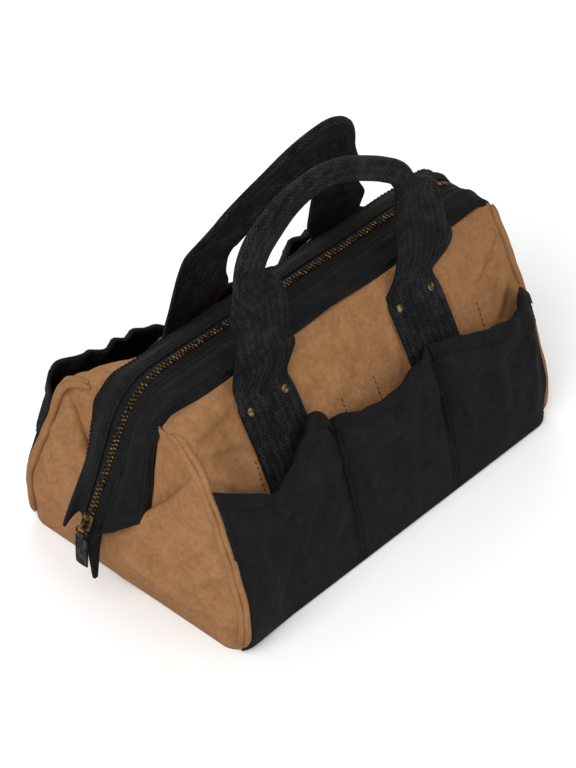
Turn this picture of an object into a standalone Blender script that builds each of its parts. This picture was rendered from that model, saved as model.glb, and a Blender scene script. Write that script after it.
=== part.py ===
"""Wide-mouth canvas tool bag: canvas walls on a stiff base, a black mouth band on two sprung wires, a zip,
outer and inner pockets, and two webbing handles riveted to the walls.

Metres, +Z up. The origin is at the middle of the base's underside, +X runs along the bag to its far end, and
-Y is the front. Each piece is one object, and pieces of one shape are made by one function.
"""

import math

import bmesh
import bpy
from mathutils import Matrix, Vector

# Base and walls
BASE_LENGTH = 0.305
BASE_WIDTH = 0.183
SEAM_HEIGHT = 0.1446
SEAM_HALF_SPACING = 0.0246
WALL_BULGE = 0.010
CANVAS_THICKNESS = 0.0024
PIECE_GAP = 0.0004
WALL_FOOT = 0.0016
SEAM_OPEN = 0.0053
BASE_CORNER = 0.012
BOARD_THICKNESS = 0.003
BOARD_MARGIN = 0.0045

# Welts along the four upright edges
WELT_RADIUS = 0.0022

# Lower end panels and the pleats folded away behind them
END_TOP_MIDDLE = 0.0515
END_TOP_SIDE = 0.110
BELLY_SET_BACK = 0.0163
END_FOOT = 0.0006
END_RISE_POWER = 0.85
END_BELLY_POWER = 1.5
PLEAT_SET_IN = 0.0056
PLEAT_TUCK = 0.016
PLEAT_STAND = 0.007
LINING_THICKNESS = 0.0015

# Zip ridge and mouth band
RIDGE_HEIGHT = 0.1556
RIDGE_HALF_LENGTH = 0.1454
RIDGE_CORNER = 0.045
BEAK_REACH = 0.1888
BEAK_HEIGHT = 0.0678
BAND_CORNER = 0.016
BAND_HALF_LENGTH = 0.1529
BAND_FOOT_SET_BACK = 0.0274
BAND_FOOT_HEIGHT = 0.079
BAND_THICKNESS = 0.0022
TAPE_HALF_WIDTH = 0.0044
RUN_STEPS = 6
CORNER_STEPS = 6
TOP_STEPS = 10

# Zip chain, slider and pull
CHAIN_SLIT = 0.0006
CHAIN_HALF_WIDTH = 0.0030
CHAIN_THICKNESS = 0.0024
CHAIN_START = 0.0125
SLIDER_LENGTH = 0.0108
SLIDER_PLACE = 0.0065
SLIDER_WIDTH = 0.0090
SLIDER_INNER_WIDTH = 0.0046
SLIDER_PLATE = 0.0014
SLIDER_CLEARANCE = 0.0003
SLIDER_WEB_LENGTH = 0.0050
BAIL_LENGTH = 0.0062
BAIL_WIDTH = 0.0020
BAIL_HEIGHT = 0.0052
BAIL_WALL = 0.0012
LINK_RADIUS = 0.0005
LINK_WIDTH = 0.0080
LINK_DROP = 0.0058
LINK_CORNER = 0.0014
LINK_CORNER_STEPS = 3
PULL_LENGTH = 0.0225
PULL_WIDTH = 0.0096
PULL_THICKNESS = 0.0014
PULL_CORNER = 0.0018
KNUCKLE_RADIUS = 0.0014
KNUCKLE_WIDTH = 0.0044

# Sprung wires, their eyes and the pivot pins
WIRE_RADIUS = 0.0018
PIN_RADIUS = 0.0020
PIN_HEAD_RADIUS = 0.0034
PIN_HEAD = 0.0012
EYE_CLEARANCE = 0.00035
FRONT_EYE_SET_BACK = 0.0188
BACK_EYE_SET_BACK = 0.0136
EYE_TIP_ANGLE = math.radians(280)
EYE_LEG_ANGLE = math.radians(-20)
EYE_STEPS = 10
WIRE_ACROSS_SHARE = 0.5
RIM_SHARE = 0.5
FLAT_HEAD_SHARE = 0.8

# Tabs that hang from the beaks
TAIL_LENGTH = 0.040
TAIL_WIDTH = 0.0115
TAIL_THICKNESS = 0.0024
TAIL_SET_BACK = 0.0098
TAIL_OUTLINE_SHARES = ((-1.0, 0.0), (1.0, 0.0), (0.9, 0.5), (-0.2, 1.0), (-1.0, 0.6))

# Outer pockets
POCKET_TOP = 0.098
POCKET_DEPTH = 0.0120
POCKET_THICKNESS = 0.0016
POCKET_SEAM_GAP = 0.0008
POCKET_FOOT = 0.0026
FIRST_SEAM_X = -0.0400
SECOND_SEAM_X = 0.0525
BINDING_DEPTH = 0.0052
BINDING_THICKNESS = 0.0010
POCKET_RISE_POWER = 0.75
ACROSS_POWER = 4

# Inner pockets
INNER_TOP = 0.098
INNER_FOOT = 0.012
INNER_DEPTH = 0.0125
INNER_HALF_LENGTH = 0.135
INNER_RISE_POWER = 0.6
INNER_SEAMS_X = (-INNER_HALF_LENGTH, -0.1015, -0.0225, 0.0075, 0.1075, INNER_HALF_LENGTH)

# Webbing straps, rivets and handles
STRAP_HALF_SPACING = 0.068
FRONT_STRAP_SHIFT = -0.0085
BACK_STRAP_SHIFT = 0.004
STRAP_WIDTH = 0.044
WEBBING_THICKNESS = 0.0018
STRAP_TOP = 0.1390
STRAP_BOTTOM = 0.0725
RIVET_PLACE = 0.1345
RIVET_SPACING = 0.030
RIVET_RADIUS = 0.0034
RIVET_HEIGHT = 0.0020
RIVET_DOME_SHARES = ((0.0, 1.0), (0.45, 0.93), (0.82, 0.62), (1.0, 0.2), (0.96, 0.0), (0.0, 0.0))
HINGE_PLACE = 0.1433
HINGE_STAND = 0.0016
HANDLE_THICKNESS = 0.0030
HANDLE_HEIGHT = 0.125
GRIP_WIDTH = 0.0195
GRIP_THICKNESS = 0.0120
HANDLE_LEAN_DEGREES = 5
LEG_SHARE = 0.17
FOLD_SHARE = 0.08
FLAT_POWER = 0.35
ROUNDING_POWER = 0.5
SECTION_STEPS = 12
KNOT_STEPS = 2
FRONT_LOOP_SHARES = (
    (-1.00, 0.00), (-0.96, 0.144), (-0.94, 0.336), (-1.00, 0.512), (-1.06, 0.656), (-0.96, 0.776),
    (-0.757, 0.856), (-0.493, 0.92), (-0.169, 0.944), (0.154, 0.912), (0.449, 0.84), (0.713, 0.76),
    (0.919, 0.672), (1.06, 0.512), (1.12, 0.304), (1.05, 0.128), (1.00, 0.00),
)
BACK_LOOP_SHARES = (
    (-1.00, 0.00), (-0.96, 0.112), (-0.88, 0.24), (-0.794, 0.368), (-0.647, 0.48), (-0.382, 0.552),
    (-0.088, 0.616), (0.176, 0.672), (0.441, 0.704), (0.72, 0.708), (0.92, 0.645), (0.99, 0.528),
    (0.95, 0.384), (0.91, 0.256), (0.95, 0.128), (1.00, 0.00),
)

FRONT = -1
BACK = 1
LEFT = -1
RIGHT = 1
SIDES = ((FRONT, "front"), (BACK, "back"))
ENDS = ((LEFT, "left"), (RIGHT, "right"))
UPWARDS = Vector((0, 0, 1))
STRAP_SHIFTS = {FRONT: FRONT_STRAP_SHIFT, BACK: BACK_STRAP_SHIFT}

HALF_LENGTH = BASE_LENGTH / 2
HALF_WIDTH = BASE_WIDTH / 2
END_BELLY = BEAK_REACH - HALF_LENGTH - BELLY_SET_BACK
BAND_FOOT_REACH = BEAK_REACH - BAND_FOOT_SET_BACK
FRONT_EYE_REACH = BEAK_REACH - FRONT_EYE_SET_BACK
BACK_EYE_REACH = BEAK_REACH - BACK_EYE_SET_BACK
TAIL_REACH = BEAK_REACH - TAIL_SET_BACK
WALL_LENGTH = math.hypot(SEAM_HEIGHT, HALF_WIDTH - SEAM_HALF_SPACING)
WALL_LEAN = math.atan2(HALF_WIDTH - SEAM_HALF_SPACING, SEAM_HEIGHT)
WALL_HALF_LENGTH = HALF_LENGTH - WELT_RADIUS - PIECE_GAP
RUN_SLOPE = math.atan2(RIDGE_HEIGHT - BEAK_HEIGHT, BEAK_REACH - RIDGE_HALF_LENGTH)
ROUND_STEPS = 16
HALF_SHARE = 0.5
BLOCK_CORNER_STEPS = 4
WALL_ALONG_STEPS = 4
WALL_UP_STEPS = 10
END_ALONG_STEPS = 14
END_UP_STEPS = 6
PLEAT_UP_STEPS = 2
GUSSET_ALONG_STEPS = 3
GUSSET_UP_STEPS = 6
WELT_STEPS = 12
POCKET_ALONG_STEPS = 10
POCKET_UP_STEPS = 7
INNER_ALONG_STEPS = 30
INNER_UP_STEPS = 5
STRAP_ALONG_STEPS = 2
STRAP_UP_STEPS = 6
BAND_UP_STEPS = 3
SHARP_ANGLE = math.radians(40)
MERGE_LIMIT = 0.00001
FIT_ROUNDS = 6


def clear_scene():
    """Removes what the startup scene holds."""
    for obj in list(bpy.data.objects):
        bpy.data.objects.remove(obj, do_unlink=True)


def make_material(name, colour, roughness, metallic=0.0):
    """One Principled finish."""
    material = bpy.data.materials.new(name)
    material.use_nodes = True
    shader = material.node_tree.nodes["Principled BSDF"]
    shader.inputs["Base Color"].default_value = (*colour, 1.0)
    shader.inputs["Roughness"].default_value = roughness
    shader.inputs["Metallic"].default_value = metallic
    return material


def make_finishes():
    """The finishes, each by the name of the stuff it stands for."""
    return {
        "tan_canvas": make_material("tan_canvas", (0.39, 0.21, 0.095), 0.9),
        "black_canvas": make_material("black_canvas", (0.012, 0.012, 0.013), 0.85),
        "black_webbing": make_material("black_webbing", (0.014, 0.014, 0.015), 0.75),
        "lining": make_material("lining", (0.05, 0.045, 0.04), 0.9),
        "antique_brass": make_material("antique_brass", (0.30, 0.21, 0.10), 0.4, 1.0),
        "gunmetal": make_material("gunmetal", (0.06, 0.06, 0.065), 0.4, 1.0),
        "spring_steel": make_material("spring_steel", (0.42, 0.43, 0.45), 0.35, 1.0),
        "stiff_board": make_material("stiff_board", (0.16, 0.14, 0.12), 0.8),
    }


def place_object(name, data, finish, collection):
    """Puts a mesh or curve in the bag's collection under its name and finish."""
    obj = bpy.data.objects.new(name, data)
    collection.objects.link(obj)
    data.materials.append(finish)
    return obj


def mesh_from(working, name):
    """Turns a working mesh into smooth mesh data and frees it."""
    data = bpy.data.meshes.new(name)
    working.to_mesh(data)
    working.free()
    data.shade_smooth()
    data.set_sharp_from_angle(angle=SHARP_ANGLE)
    return data


def make_sheet(name, rule, columns, rows, thickness, inside_out, finish, collection):
    """A sheet whose points follow a rule of two shares, thickened towards its inner side."""
    working = bmesh.new()
    bmesh.ops.create_grid(working, x_segments=columns, y_segments=rows, size=1)
    for vertex in working.verts:
        vertex.co = rule((vertex.co.x + 1) / 2, (vertex.co.y + 1) / 2)
    if inside_out:
        bmesh.ops.reverse_faces(working, faces=working.faces)
    obj = place_object(name, mesh_from(working, name), finish, collection)
    solidify = obj.modifiers.new("Thickness", "SOLIDIFY")
    solidify.thickness = thickness
    solidify.offset = -1
    return obj


def make_tube(name, points, radius, finish, collection):
    """A round tube along a list of points."""
    data = bpy.data.curves.new(name, "CURVE")
    data.dimensions = "3D"
    data.bevel_depth = radius
    data.bevel_resolution = 2
    data.use_fill_caps = True
    spline = data.splines.new("POLY")
    spline.points.add(len(points) - 1)
    for target, point in zip(spline.points, points):
        target.co = (*point, 1.0)
    return place_object(name, data, finish, collection)


def make_turned(name, profile, place, turn, finish, collection):
    """A turned piece from radius and height pairs, which run from the top of its axis to the bottom."""
    working = bmesh.new()
    rim = [working.verts.new((radius, 0, height)) for radius, height in profile]
    for first, second in zip(rim, rim[1:]):
        working.edges.new((first, second))
    data = bpy.data.meshes.new(name)
    working.to_mesh(data)
    working.free()
    obj = place_object(name, data, finish, collection)
    screw = obj.modifiers.new("Turned", "SCREW")
    screw.steps = ROUND_STEPS
    screw.render_steps = ROUND_STEPS
    screw.use_merge_vertices = True
    screw.merge_threshold = MERGE_LIMIT
    screw.use_smooth_shade = True
    obj.location = place
    obj.rotation_euler = turn
    return obj


def make_loft(name, rings, finish, collection):
    """A closed solid through rings of as many points each."""
    working = bmesh.new()
    rows = [[working.verts.new(point) for point in ring] for ring in rings]
    for lower, upper in zip(rows, rows[1:]):
        for index in range(len(lower)):
            after = (index + 1) % len(lower)
            working.faces.new((lower[index], lower[after], upper[after], upper[index]))
    working.faces.new(reversed(rows[0]))
    working.faces.new(rows[-1])
    bmesh.ops.recalc_face_normals(working, faces=working.faces)
    return place_object(name, mesh_from(working, name), finish, collection)


def block_mesh(size, centre):
    """A box as a working mesh."""
    working = bmesh.new()
    bmesh.ops.create_cube(working, size=1, matrix=Matrix.Translation(centre) @ Matrix.Diagonal((*size, 1)))
    return working


def round_edges(working, axis, radius, steps):
    """Rounds a box's four edges that run along one axis."""
    edges = []
    for edge in working.edges:
        first, second = edge.verts
        if abs((first.co - second.co).dot(axis)) > MERGE_LIMIT:
            edges.append(edge)
    bmesh.ops.bevel(working, geom=edges, offset=radius, segments=steps, profile=HALF_SHARE, affect="EDGES")


def add_boolean(obj, other, operation):
    """Joins a helper to an object or cuts it away."""
    modifier = obj.modifiers.new(other.name, "BOOLEAN")
    modifier.operation = operation
    modifier.solver = "EXACT"
    modifier.object = other


def make_helper(name, working, helpers):
    """A shape that only serves to join or cut."""
    data = bpy.data.meshes.new(name)
    working.to_mesh(data)
    working.free()
    obj = bpy.data.objects.new(name, data)
    helpers.objects.link(obj)
    obj.hide_render = True
    obj.display_type = "WIRE"
    return obj


def smooth_share(value):
    """A share from 0 to 1 that starts and ends flat."""
    held = min(max(value, 0.0), 1.0)
    return held * held * (3 - 2 * held)


def wall_bulge(up):
    """How far a wall stands out of the flat between hinge and seam, at a place up its slope."""
    share = up / WALL_LENGTH
    return 4 * WALL_BULGE * share * (1 - share)


def wall_point(side, along, up, out):
    """A point by its place along a wall, its place up the slope and its distance out of the outer face."""
    away = wall_bulge(up) + out
    spread = HALF_WIDTH - up * math.sin(WALL_LEAN) + away * math.cos(WALL_LEAN)
    height = up * math.cos(WALL_LEAN) + away * math.sin(WALL_LEAN)
    return Vector((along, side * spread, height))


def wall_tilt(up):
    """The wall's lean from upright, at a place up its slope."""
    slope = 4 * WALL_BULGE * (1 - 2 * up / WALL_LENGTH) / WALL_LENGTH
    return WALL_LEAN - math.atan(slope)


def wall_spread(height, out):
    """The distance from the middle plane to a wall at a height."""
    up = height / math.cos(WALL_LEAN)
    for _ in range(FIT_ROUNDS):
        up = (height - (wall_bulge(up) + out) * math.sin(WALL_LEAN)) / math.cos(WALL_LEAN)
    return abs(wall_point(FRONT, 0, up, out).y)


def corner_path(start, corner, end, radius, steps):
    """Points from start to end in the upright plane of the ridge, with the corner rounded."""
    into = (corner - start).normalized()
    out_of = (end - corner).normalized()
    turn = into.angle(out_of)
    cut = radius * math.tan(turn / 2)
    first = corner - into * cut
    hub = first + Vector((-into.y, into.x)) * math.copysign(radius, into.cross(out_of))
    arm = first - hub
    points = []
    for step in range(steps + 1):
        angle = math.copysign(turn, into.cross(out_of)) * step / steps
        points.append(hub + Matrix.Rotation(angle, 2) @ arm)
    return points


def half_path(foot, corner, radius, run_steps, corner_steps):
    """The left half of a path over the mouth: up the end run, round the corner, to the middle of the top."""
    rounded = corner_path(foot, corner, Vector((0, corner.y)), radius, corner_steps)
    run = [foot.lerp(rounded[0], step / run_steps) for step in range(run_steps)]
    return run + rounded


def mouth_path(foot, corner, radius, run_steps, corner_steps, top_steps):
    """The whole path over the mouth, from the left foot to the right one."""
    left = half_path(foot, corner, radius, run_steps, corner_steps)
    right = [Vector((-point.x, point.y)) for point in reversed(left)]
    top = [left[-1].lerp(right[0], step / top_steps) for step in range(1, top_steps)]
    return left + top + right


def ridge_line():
    """The zip's line in the middle plane."""
    foot = Vector((-BEAK_REACH, BEAK_HEIGHT))
    return mouth_path(foot, Vector((-RIDGE_HALF_LENGTH, RIDGE_HEIGHT)), RIDGE_CORNER, RUN_STEPS, CORNER_STEPS,
                      TOP_STEPS)


def hem_line():
    """The band's outer edge, which the walls are sewn to."""
    foot = Vector((-BAND_FOOT_REACH, BAND_FOOT_HEIGHT))
    return mouth_path(foot, Vector((-BAND_HALF_LENGTH, SEAM_HEIGHT)), BAND_CORNER, RUN_STEPS, CORNER_STEPS,
                      TOP_STEPS)


RIDGE = ridge_line()
HEM = hem_line()


def on_line(line, share):
    """A point of a line of points by its share of the steps."""
    place = min(max(share, 0.0), 1.0) * (len(line) - 1)
    first = min(int(place), len(line) - 2)
    return line[first].lerp(line[first + 1], place - first)


def band_point(side, share, across):
    """A point of the band, from the ridge to the hem."""
    ridge = on_line(RIDGE, share)
    hem = on_line(HEM, share)
    flat = ridge.lerp(hem, across)
    return Vector((flat.x, side * across * SEAM_HALF_SPACING, flat.y))


def band_inward(side, share, across):
    """The direction from the band's outer face into the bag."""
    ahead = 1 / (len(RIDGE) - 1)
    along = band_point(side, min(share + ahead, 1), across) - band_point(side, max(share - ahead, 0), across)
    outwards = band_point(side, share, 1) - band_point(side, share, 0)
    return (outwards.cross(along) * side).normalized()


def loop_points(shares, samples):
    """Smooth points through hand-chosen shares of a handle's half spacing and height."""
    knots = [Vector((x_share * STRAP_HALF_SPACING, up_share * HANDLE_HEIGHT)) for x_share, up_share in shares]
    knots = [knots[0] * 2 - knots[1]] + knots + [knots[-1] * 2 - knots[-2]]
    points = []
    for index in range(1, len(knots) - 2):
        before, first, second, after = knots[index - 1:index + 3]
        for step in range(samples):
            share = step / samples
            points.append((
                first * 2
                + (second - before) * share
                + (before * 2 - first * 5 + second * 4 - after) * share ** 2
                + (first * 3 - before - second * 3 + after) * share ** 3
            ) / 2)
    points.append(knots[-2])
    return points


def make_base(finishes, collection):
    """The flat base and the stiff board that lies on it."""
    half_spread = wall_spread(WALL_FOOT, -CANVAS_THICKNESS) - PIECE_GAP
    length = 2 * (HALF_LENGTH - CANVAS_THICKNESS - PIECE_GAP)
    working = block_mesh((length, 2 * half_spread, CANVAS_THICKNESS), (0, 0, CANVAS_THICKNESS / 2))
    round_edges(working, UPWARDS, BASE_CORNER, BLOCK_CORNER_STEPS)
    place_object("base_panel", mesh_from(working, "base_panel"), finishes["black_canvas"], collection)
    board = (length - 2 * BOARD_MARGIN, 2 * (half_spread - BOARD_MARGIN), BOARD_THICKNESS)
    height = CANVAS_THICKNESS + PIECE_GAP + BOARD_THICKNESS / 2
    working = block_mesh(board, (0, 0, height))
    round_edges(working, UPWARDS, BASE_CORNER, BLOCK_CORNER_STEPS)
    place_object("base_board", mesh_from(working, "base_board"), finishes["stiff_board"], collection)


def end_top(across):
    """The height of an end panel's upper edge, which dips under the beak."""
    return END_TOP_MIDDLE + (END_TOP_SIDE - END_TOP_MIDDLE) * abs(across) ** END_RISE_POWER


def end_reach(across, up_share):
    """How far out of the bag's middle an end panel's outer face stands."""
    return HALF_LENGTH + END_BELLY * (1 - abs(across)) ** END_BELLY_POWER * up_share


def make_end_panel(end, name, finishes, collection):
    """The lower end panel, which bellies out to meet the beak."""
    side_gap = -(WELT_RADIUS + 2 * PIECE_GAP)

    def rule(along_share, up_share):
        across = 2 * along_share - 1
        height = END_FOOT + (end_top(across) - END_FOOT) * up_share
        return Vector((end * end_reach(across, up_share), across * wall_spread(height, side_gap), height))

    make_sheet(f"{name}_end_panel", rule, END_ALONG_STEPS, END_UP_STEPS, CANVAS_THICKNESS, end == LEFT,
               finishes["tan_canvas"], collection)


def make_pleat(end, name, finishes, collection):
    """The fold of spare end canvas that lies behind the lower panel and opens as the beak rises."""
    side_gap = -(CANVAS_THICKNESS + 2 * PIECE_GAP)

    def rule(along_share, up_share):
        across = 2 * along_share - 1
        top = end_top(across)
        height = top - PLEAT_TUCK + (PLEAT_TUCK + PLEAT_STAND) * up_share
        reach = end_reach(across, min(height / top, 1)) - PLEAT_SET_IN
        return Vector((end * reach, across * wall_spread(height, side_gap), height))

    make_sheet(f"{name}_pleat", rule, END_ALONG_STEPS, PLEAT_UP_STEPS, LINING_THICKNESS, end == LEFT,
               finishes["tan_canvas"], collection)


def make_wall(side, name, finishes, collection):
    """One long wall."""
    top = WALL_LENGTH - SEAM_OPEN

    def rule(along_share, up_share):
        along = (2 * along_share - 1) * WALL_HALF_LENGTH
        return wall_point(side, along, WALL_FOOT + (top - WALL_FOOT) * up_share, 0)

    make_sheet(f"{name}_panel", rule, WALL_ALONG_STEPS, WALL_UP_STEPS, CANVAS_THICKNESS, side == BACK,
               finishes["tan_canvas"], collection)


def make_welt(side, end, name, finishes, collection):
    """The piped seam along one upright edge."""
    top = WALL_LENGTH - SEAM_OPEN - WELT_RADIUS
    foot = WALL_FOOT + WELT_RADIUS
    ups = [foot + (top - foot) * step / WELT_STEPS for step in range(WELT_STEPS + 1)]
    points = [wall_point(side, end * HALF_LENGTH, up, 0) for up in ups]
    make_tube(f"{name}_welt", points, WELT_RADIUS, finishes["tan_canvas"], collection)


def make_gusset(side, end, name, finishes, collection):
    """The upper end canvas between a welt and the band's end run, which unfolds as the mouth opens."""
    inner = -(WELT_RADIUS + 2 * PIECE_GAP)
    edge_half = SEAM_HALF_SPACING + 2 * PIECE_GAP
    low_welt = END_TOP_SIDE + 2 * PIECE_GAP
    low_band = end_top(edge_half / wall_spread(BAND_FOOT_HEIGHT, inner)) + 2 * PIECE_GAP
    high = SEAM_HEIGHT - 4 * BAND_THICKNESS
    taper = (BAND_FOOT_REACH - BAND_HALF_LENGTH) / (SEAM_HEIGHT - BAND_FOOT_HEIGHT)

    def rule(across_share, up_share):
        welt_height = low_welt + (high - low_welt) * up_share
        band_height = low_band + (high - low_band) * up_share
        welt = Vector((HALF_LENGTH - PIECE_GAP, wall_spread(welt_height, inner), welt_height))
        reach = BAND_HALF_LENGTH - PIECE_GAP + taper * (SEAM_HEIGHT - band_height)
        band = Vector((reach, edge_half, band_height))
        point = welt.lerp(band, across_share)
        return Vector((end * point.x, side * point.y, point.z))

    make_sheet(f"{name}_gusset", rule, GUSSET_ALONG_STEPS, GUSSET_UP_STEPS, LINING_THICKNESS, end * side > 0,
               finishes["tan_canvas"], collection)


def pocket_out(along_share, up_share, strap_share):
    """How far a pocket's outer face stands out: most at the middle of its top, least at its sewn edges."""
    edge = POCKET_THICKNESS + PIECE_GAP + (WEBBING_THICKNESS + PIECE_GAP) * smooth_share(strap_share)
    across = 2 * along_share - 1
    return edge + POCKET_DEPTH * (1 - across ** ACROSS_POWER) * up_share ** POCKET_RISE_POWER


def pocket_rule(side, first, last, low, high, extra):
    """The rule of one pocket's face, or of a strip of it that lies further out."""
    strap_rise = STRAP_BOTTOM - 3 * WEBBING_THICKNESS

    def rule(along_share, up_share):
        up = low + (high - low) * up_share
        whole_share = (up - POCKET_FOOT) / (POCKET_TOP - POCKET_FOOT)
        strap_share = (up - strap_rise) / (2 * WEBBING_THICKNESS)
        out = pocket_out(along_share, whole_share, strap_share) + extra
        return wall_point(side, first + (last - first) * along_share, up, out)

    return rule


def make_pockets(side, name, finishes, collection):
    """Three outer pockets and the ribbed binding on each top edge."""
    edge = WALL_HALF_LENGTH
    half_gap = POCKET_SEAM_GAP / 2
    seams = (-edge, FIRST_SEAM_X, SECOND_SEAM_X, edge)
    for first, last, place in zip(seams, seams[1:], ("left", "middle", "right")):
        start = first + half_gap
        stop = last - half_gap
        rule = pocket_rule(side, start, stop, POCKET_FOOT, POCKET_TOP, 0)
        make_sheet(f"{name}_{place}_pocket", rule, POCKET_ALONG_STEPS, POCKET_UP_STEPS,
                   POCKET_THICKNESS, side == BACK, finishes["black_canvas"], collection)
        rule = pocket_rule(side, start, stop, POCKET_TOP - BINDING_DEPTH, POCKET_TOP,
                           PIECE_GAP + BINDING_THICKNESS)
        make_sheet(f"{name}_{place}_binding", rule, POCKET_ALONG_STEPS, 1, BINDING_THICKNESS, side == BACK,
                   finishes["black_webbing"], collection)


def make_inner_pocket(side, name, finishes, collection):
    """The row of pockets on a wall's inner face, drawn in at each seam."""

    def rule(along_share, up_share):
        along = (2 * along_share - 1) * INNER_HALF_LENGTH
        depth = 0.0
        for first, last in zip(INNER_SEAMS_X, INNER_SEAMS_X[1:]):
            if first <= along <= last:
                across = 2 * (along - first) / (last - first) - 1
                narrow = min((last - first) / (4 * INNER_DEPTH), 1)
                depth = INNER_DEPTH * narrow * (1 - across ** ACROSS_POWER) * up_share ** INNER_RISE_POWER
        out = -(CANVAS_THICKNESS + PIECE_GAP + depth)
        return wall_point(side, along, INNER_FOOT + (INNER_TOP - INNER_FOOT) * up_share, out)

    make_sheet(f"{name}_inner_pocket", rule, INNER_ALONG_STEPS, INNER_UP_STEPS,
               LINING_THICKNESS, side == BACK, finishes["lining"], collection)


def strap_place(side, end):
    """Where the middle of a strap stands along the bag."""
    return STRAP_SHIFTS[side] + end * STRAP_HALF_SPACING


def make_strap(side, end, name, finishes, collection):
    """The webbing below a handle's rivets, which runs down behind the pocket."""

    def rule(along_share, up_share):
        along = strap_place(side, end) + (along_share - HALF_SHARE) * STRAP_WIDTH
        up = STRAP_BOTTOM + (STRAP_TOP - STRAP_BOTTOM) * up_share
        return wall_point(side, along, up, PIECE_GAP + WEBBING_THICKNESS)

    make_sheet(f"{name}_strap", rule, STRAP_ALONG_STEPS, STRAP_UP_STEPS, WEBBING_THICKNESS, side == BACK,
               finishes["black_webbing"], collection)


def make_rivets(side, end, name, finishes, collection):
    """Two domed rivets side by side on a strap."""
    profile = [(RIVET_RADIUS * out, RIVET_HEIGHT * up) for out, up in RIVET_DOME_SHARES]
    stand = 2 * PIECE_GAP + WEBBING_THICKNESS
    turn = math.pi / 2 - wall_tilt(RIVET_PLACE)
    for number, shift in enumerate((-RIVET_SPACING / 2, RIVET_SPACING / 2), start=1):
        place = wall_point(side, strap_place(side, end) + shift, RIVET_PLACE, stand)
        make_turned(f"{name}_rivet_{number}", profile, place, (-side * turn, 0, 0), finishes["antique_brass"],
                    collection)


def make_band(side, name, finishes, collection):
    """One half of the black mouth band, from beak to beak."""
    start = TAPE_HALF_WIDTH / SEAM_HALF_SPACING

    def rule(along_share, across_share):
        return band_point(side, along_share, start + (1 - start) * across_share)

    make_sheet(f"{name}_band", rule, len(RIDGE) - 1, BAND_UP_STEPS, BAND_THICKNESS, side == FRONT,
               finishes["black_webbing"], collection)


def make_chain(side, name, finishes, collection):
    """One half of the zip's chain, beside the slit in the middle plane."""
    run = (RIDGE[RUN_STEPS] - RIDGE[0]).length
    start = CHAIN_START / run * RUN_STEPS / (len(RIDGE) - 1)
    inner = CHAIN_SLIT
    outer = CHAIN_HALF_WIDTH

    def rule(along_share, across_share):
        flat = on_line(RIDGE, start + (1 - 2 * start) * along_share)
        return Vector((flat.x, side * (inner + (outer - inner) * across_share), flat.y))

    make_sheet(f"{name}_zip_chain", rule, len(RIDGE) - 1, 1, CHAIN_THICKNESS, side == FRONT,
               finishes["antique_brass"], collection)


def eye_points(side, end):
    """The loop that a wire's foot makes round the pivot pin, from its free tip to its leg."""
    reach = FRONT_EYE_REACH if side == FRONT else BACK_EYE_REACH
    radius = PIN_RADIUS + EYE_CLEARANCE + WIRE_RADIUS
    points = []
    for step in range(EYE_STEPS + 1):
        angle = EYE_TIP_ANGLE + (EYE_LEG_ANGLE - EYE_TIP_ANGLE) * step / EYE_STEPS
        height = BEAK_HEIGHT - radius * math.sin(angle)
        points.append(Vector((end * reach, side * radius * math.cos(angle), height)))
    return points


def make_wire(side, name, finishes, collection):
    """One sprung wire under the band, with an eye round each pivot pin."""
    depth = BAND_THICKNESS + PIECE_GAP + WIRE_RADIUS
    middle = WIRE_ACROSS_SHARE
    last = len(RIDGE) - 1
    body = []
    for index in range(2, last - 1):
        share = index / last
        body.append(band_point(side, share, middle) + band_inward(side, share, middle) * depth)
    left = eye_points(side, LEFT)
    right = list(reversed(eye_points(side, RIGHT)))
    make_tube(f"{name}_frame_wire", left + body + right, WIRE_RADIUS, finishes["spring_steel"], collection)


def make_pin(end, name, finishes, collection):
    """The rivet pin that both wires' eyes turn on."""
    inner = FRONT_EYE_REACH - WIRE_RADIUS - 2 * EYE_CLEARANCE
    outer = BACK_EYE_REACH + WIRE_RADIUS + 2 * EYE_CLEARANCE
    half = (outer - inner) / 2
    profile = [
        (0, half + PIN_HEAD),
        (PIN_HEAD_RADIUS * FLAT_HEAD_SHARE, half + PIN_HEAD),
        (PIN_HEAD_RADIUS, half + PIN_HEAD * RIM_SHARE),
        (PIN_HEAD_RADIUS, half),
        (PIN_RADIUS, half),
        (PIN_RADIUS, -half),
        (PIN_HEAD_RADIUS, -half),
        (PIN_HEAD_RADIUS, -half - PIN_HEAD * RIM_SHARE),
        (PIN_HEAD_RADIUS * FLAT_HEAD_SHARE, -half - PIN_HEAD),
        (0, -half - PIN_HEAD),
    ]
    place = (end * (inner + outer) / 2, 0, BEAK_HEIGHT)
    make_turned(f"{name}_pivot_pin", profile, place, (0, math.pi / 2, 0), finishes["antique_brass"],
                collection)


def make_tail(end, name, finishes, collection):
    """The pointed tab of tape that hangs from a beak below the pin."""
    radius = PIN_RADIUS + EYE_CLEARANCE + 2 * WIRE_RADIUS
    top = BEAK_HEIGHT - radius - PIECE_GAP
    outline = [(share * TAIL_WIDTH / 2, -down * TAIL_LENGTH) for share, down in TAIL_OUTLINE_SHARES]
    rings = []
    for depth in (-TAIL_THICKNESS / 2, TAIL_THICKNESS / 2):
        rings.append([Vector((end * (TAIL_REACH + x), depth, top + z)) for x, z in outline])
    make_loft(f"{name}_beak_tab", rings, finishes["black_canvas"], collection)


def run_frame():
    """The slider's own axes: up the left end run, across, and out of the zip."""
    up = Vector((math.cos(RUN_SLOPE), 0, math.sin(RUN_SLOPE)))
    across = Vector((0, 1, 0))
    out = Vector((-math.sin(RUN_SLOPE), 0, math.cos(RUN_SLOPE)))
    origin = Vector((-BEAK_REACH, 0, BEAK_HEIGHT)) + up * SLIDER_PLACE
    return Matrix.Translation(origin) @ Matrix((up, across, out)).transposed().to_4x4()


def bail_place():
    """The middle of the bail along the slider, with its low post flush with the plate's low end."""
    return (BAIL_LENGTH - SLIDER_LENGTH) / 2


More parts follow.
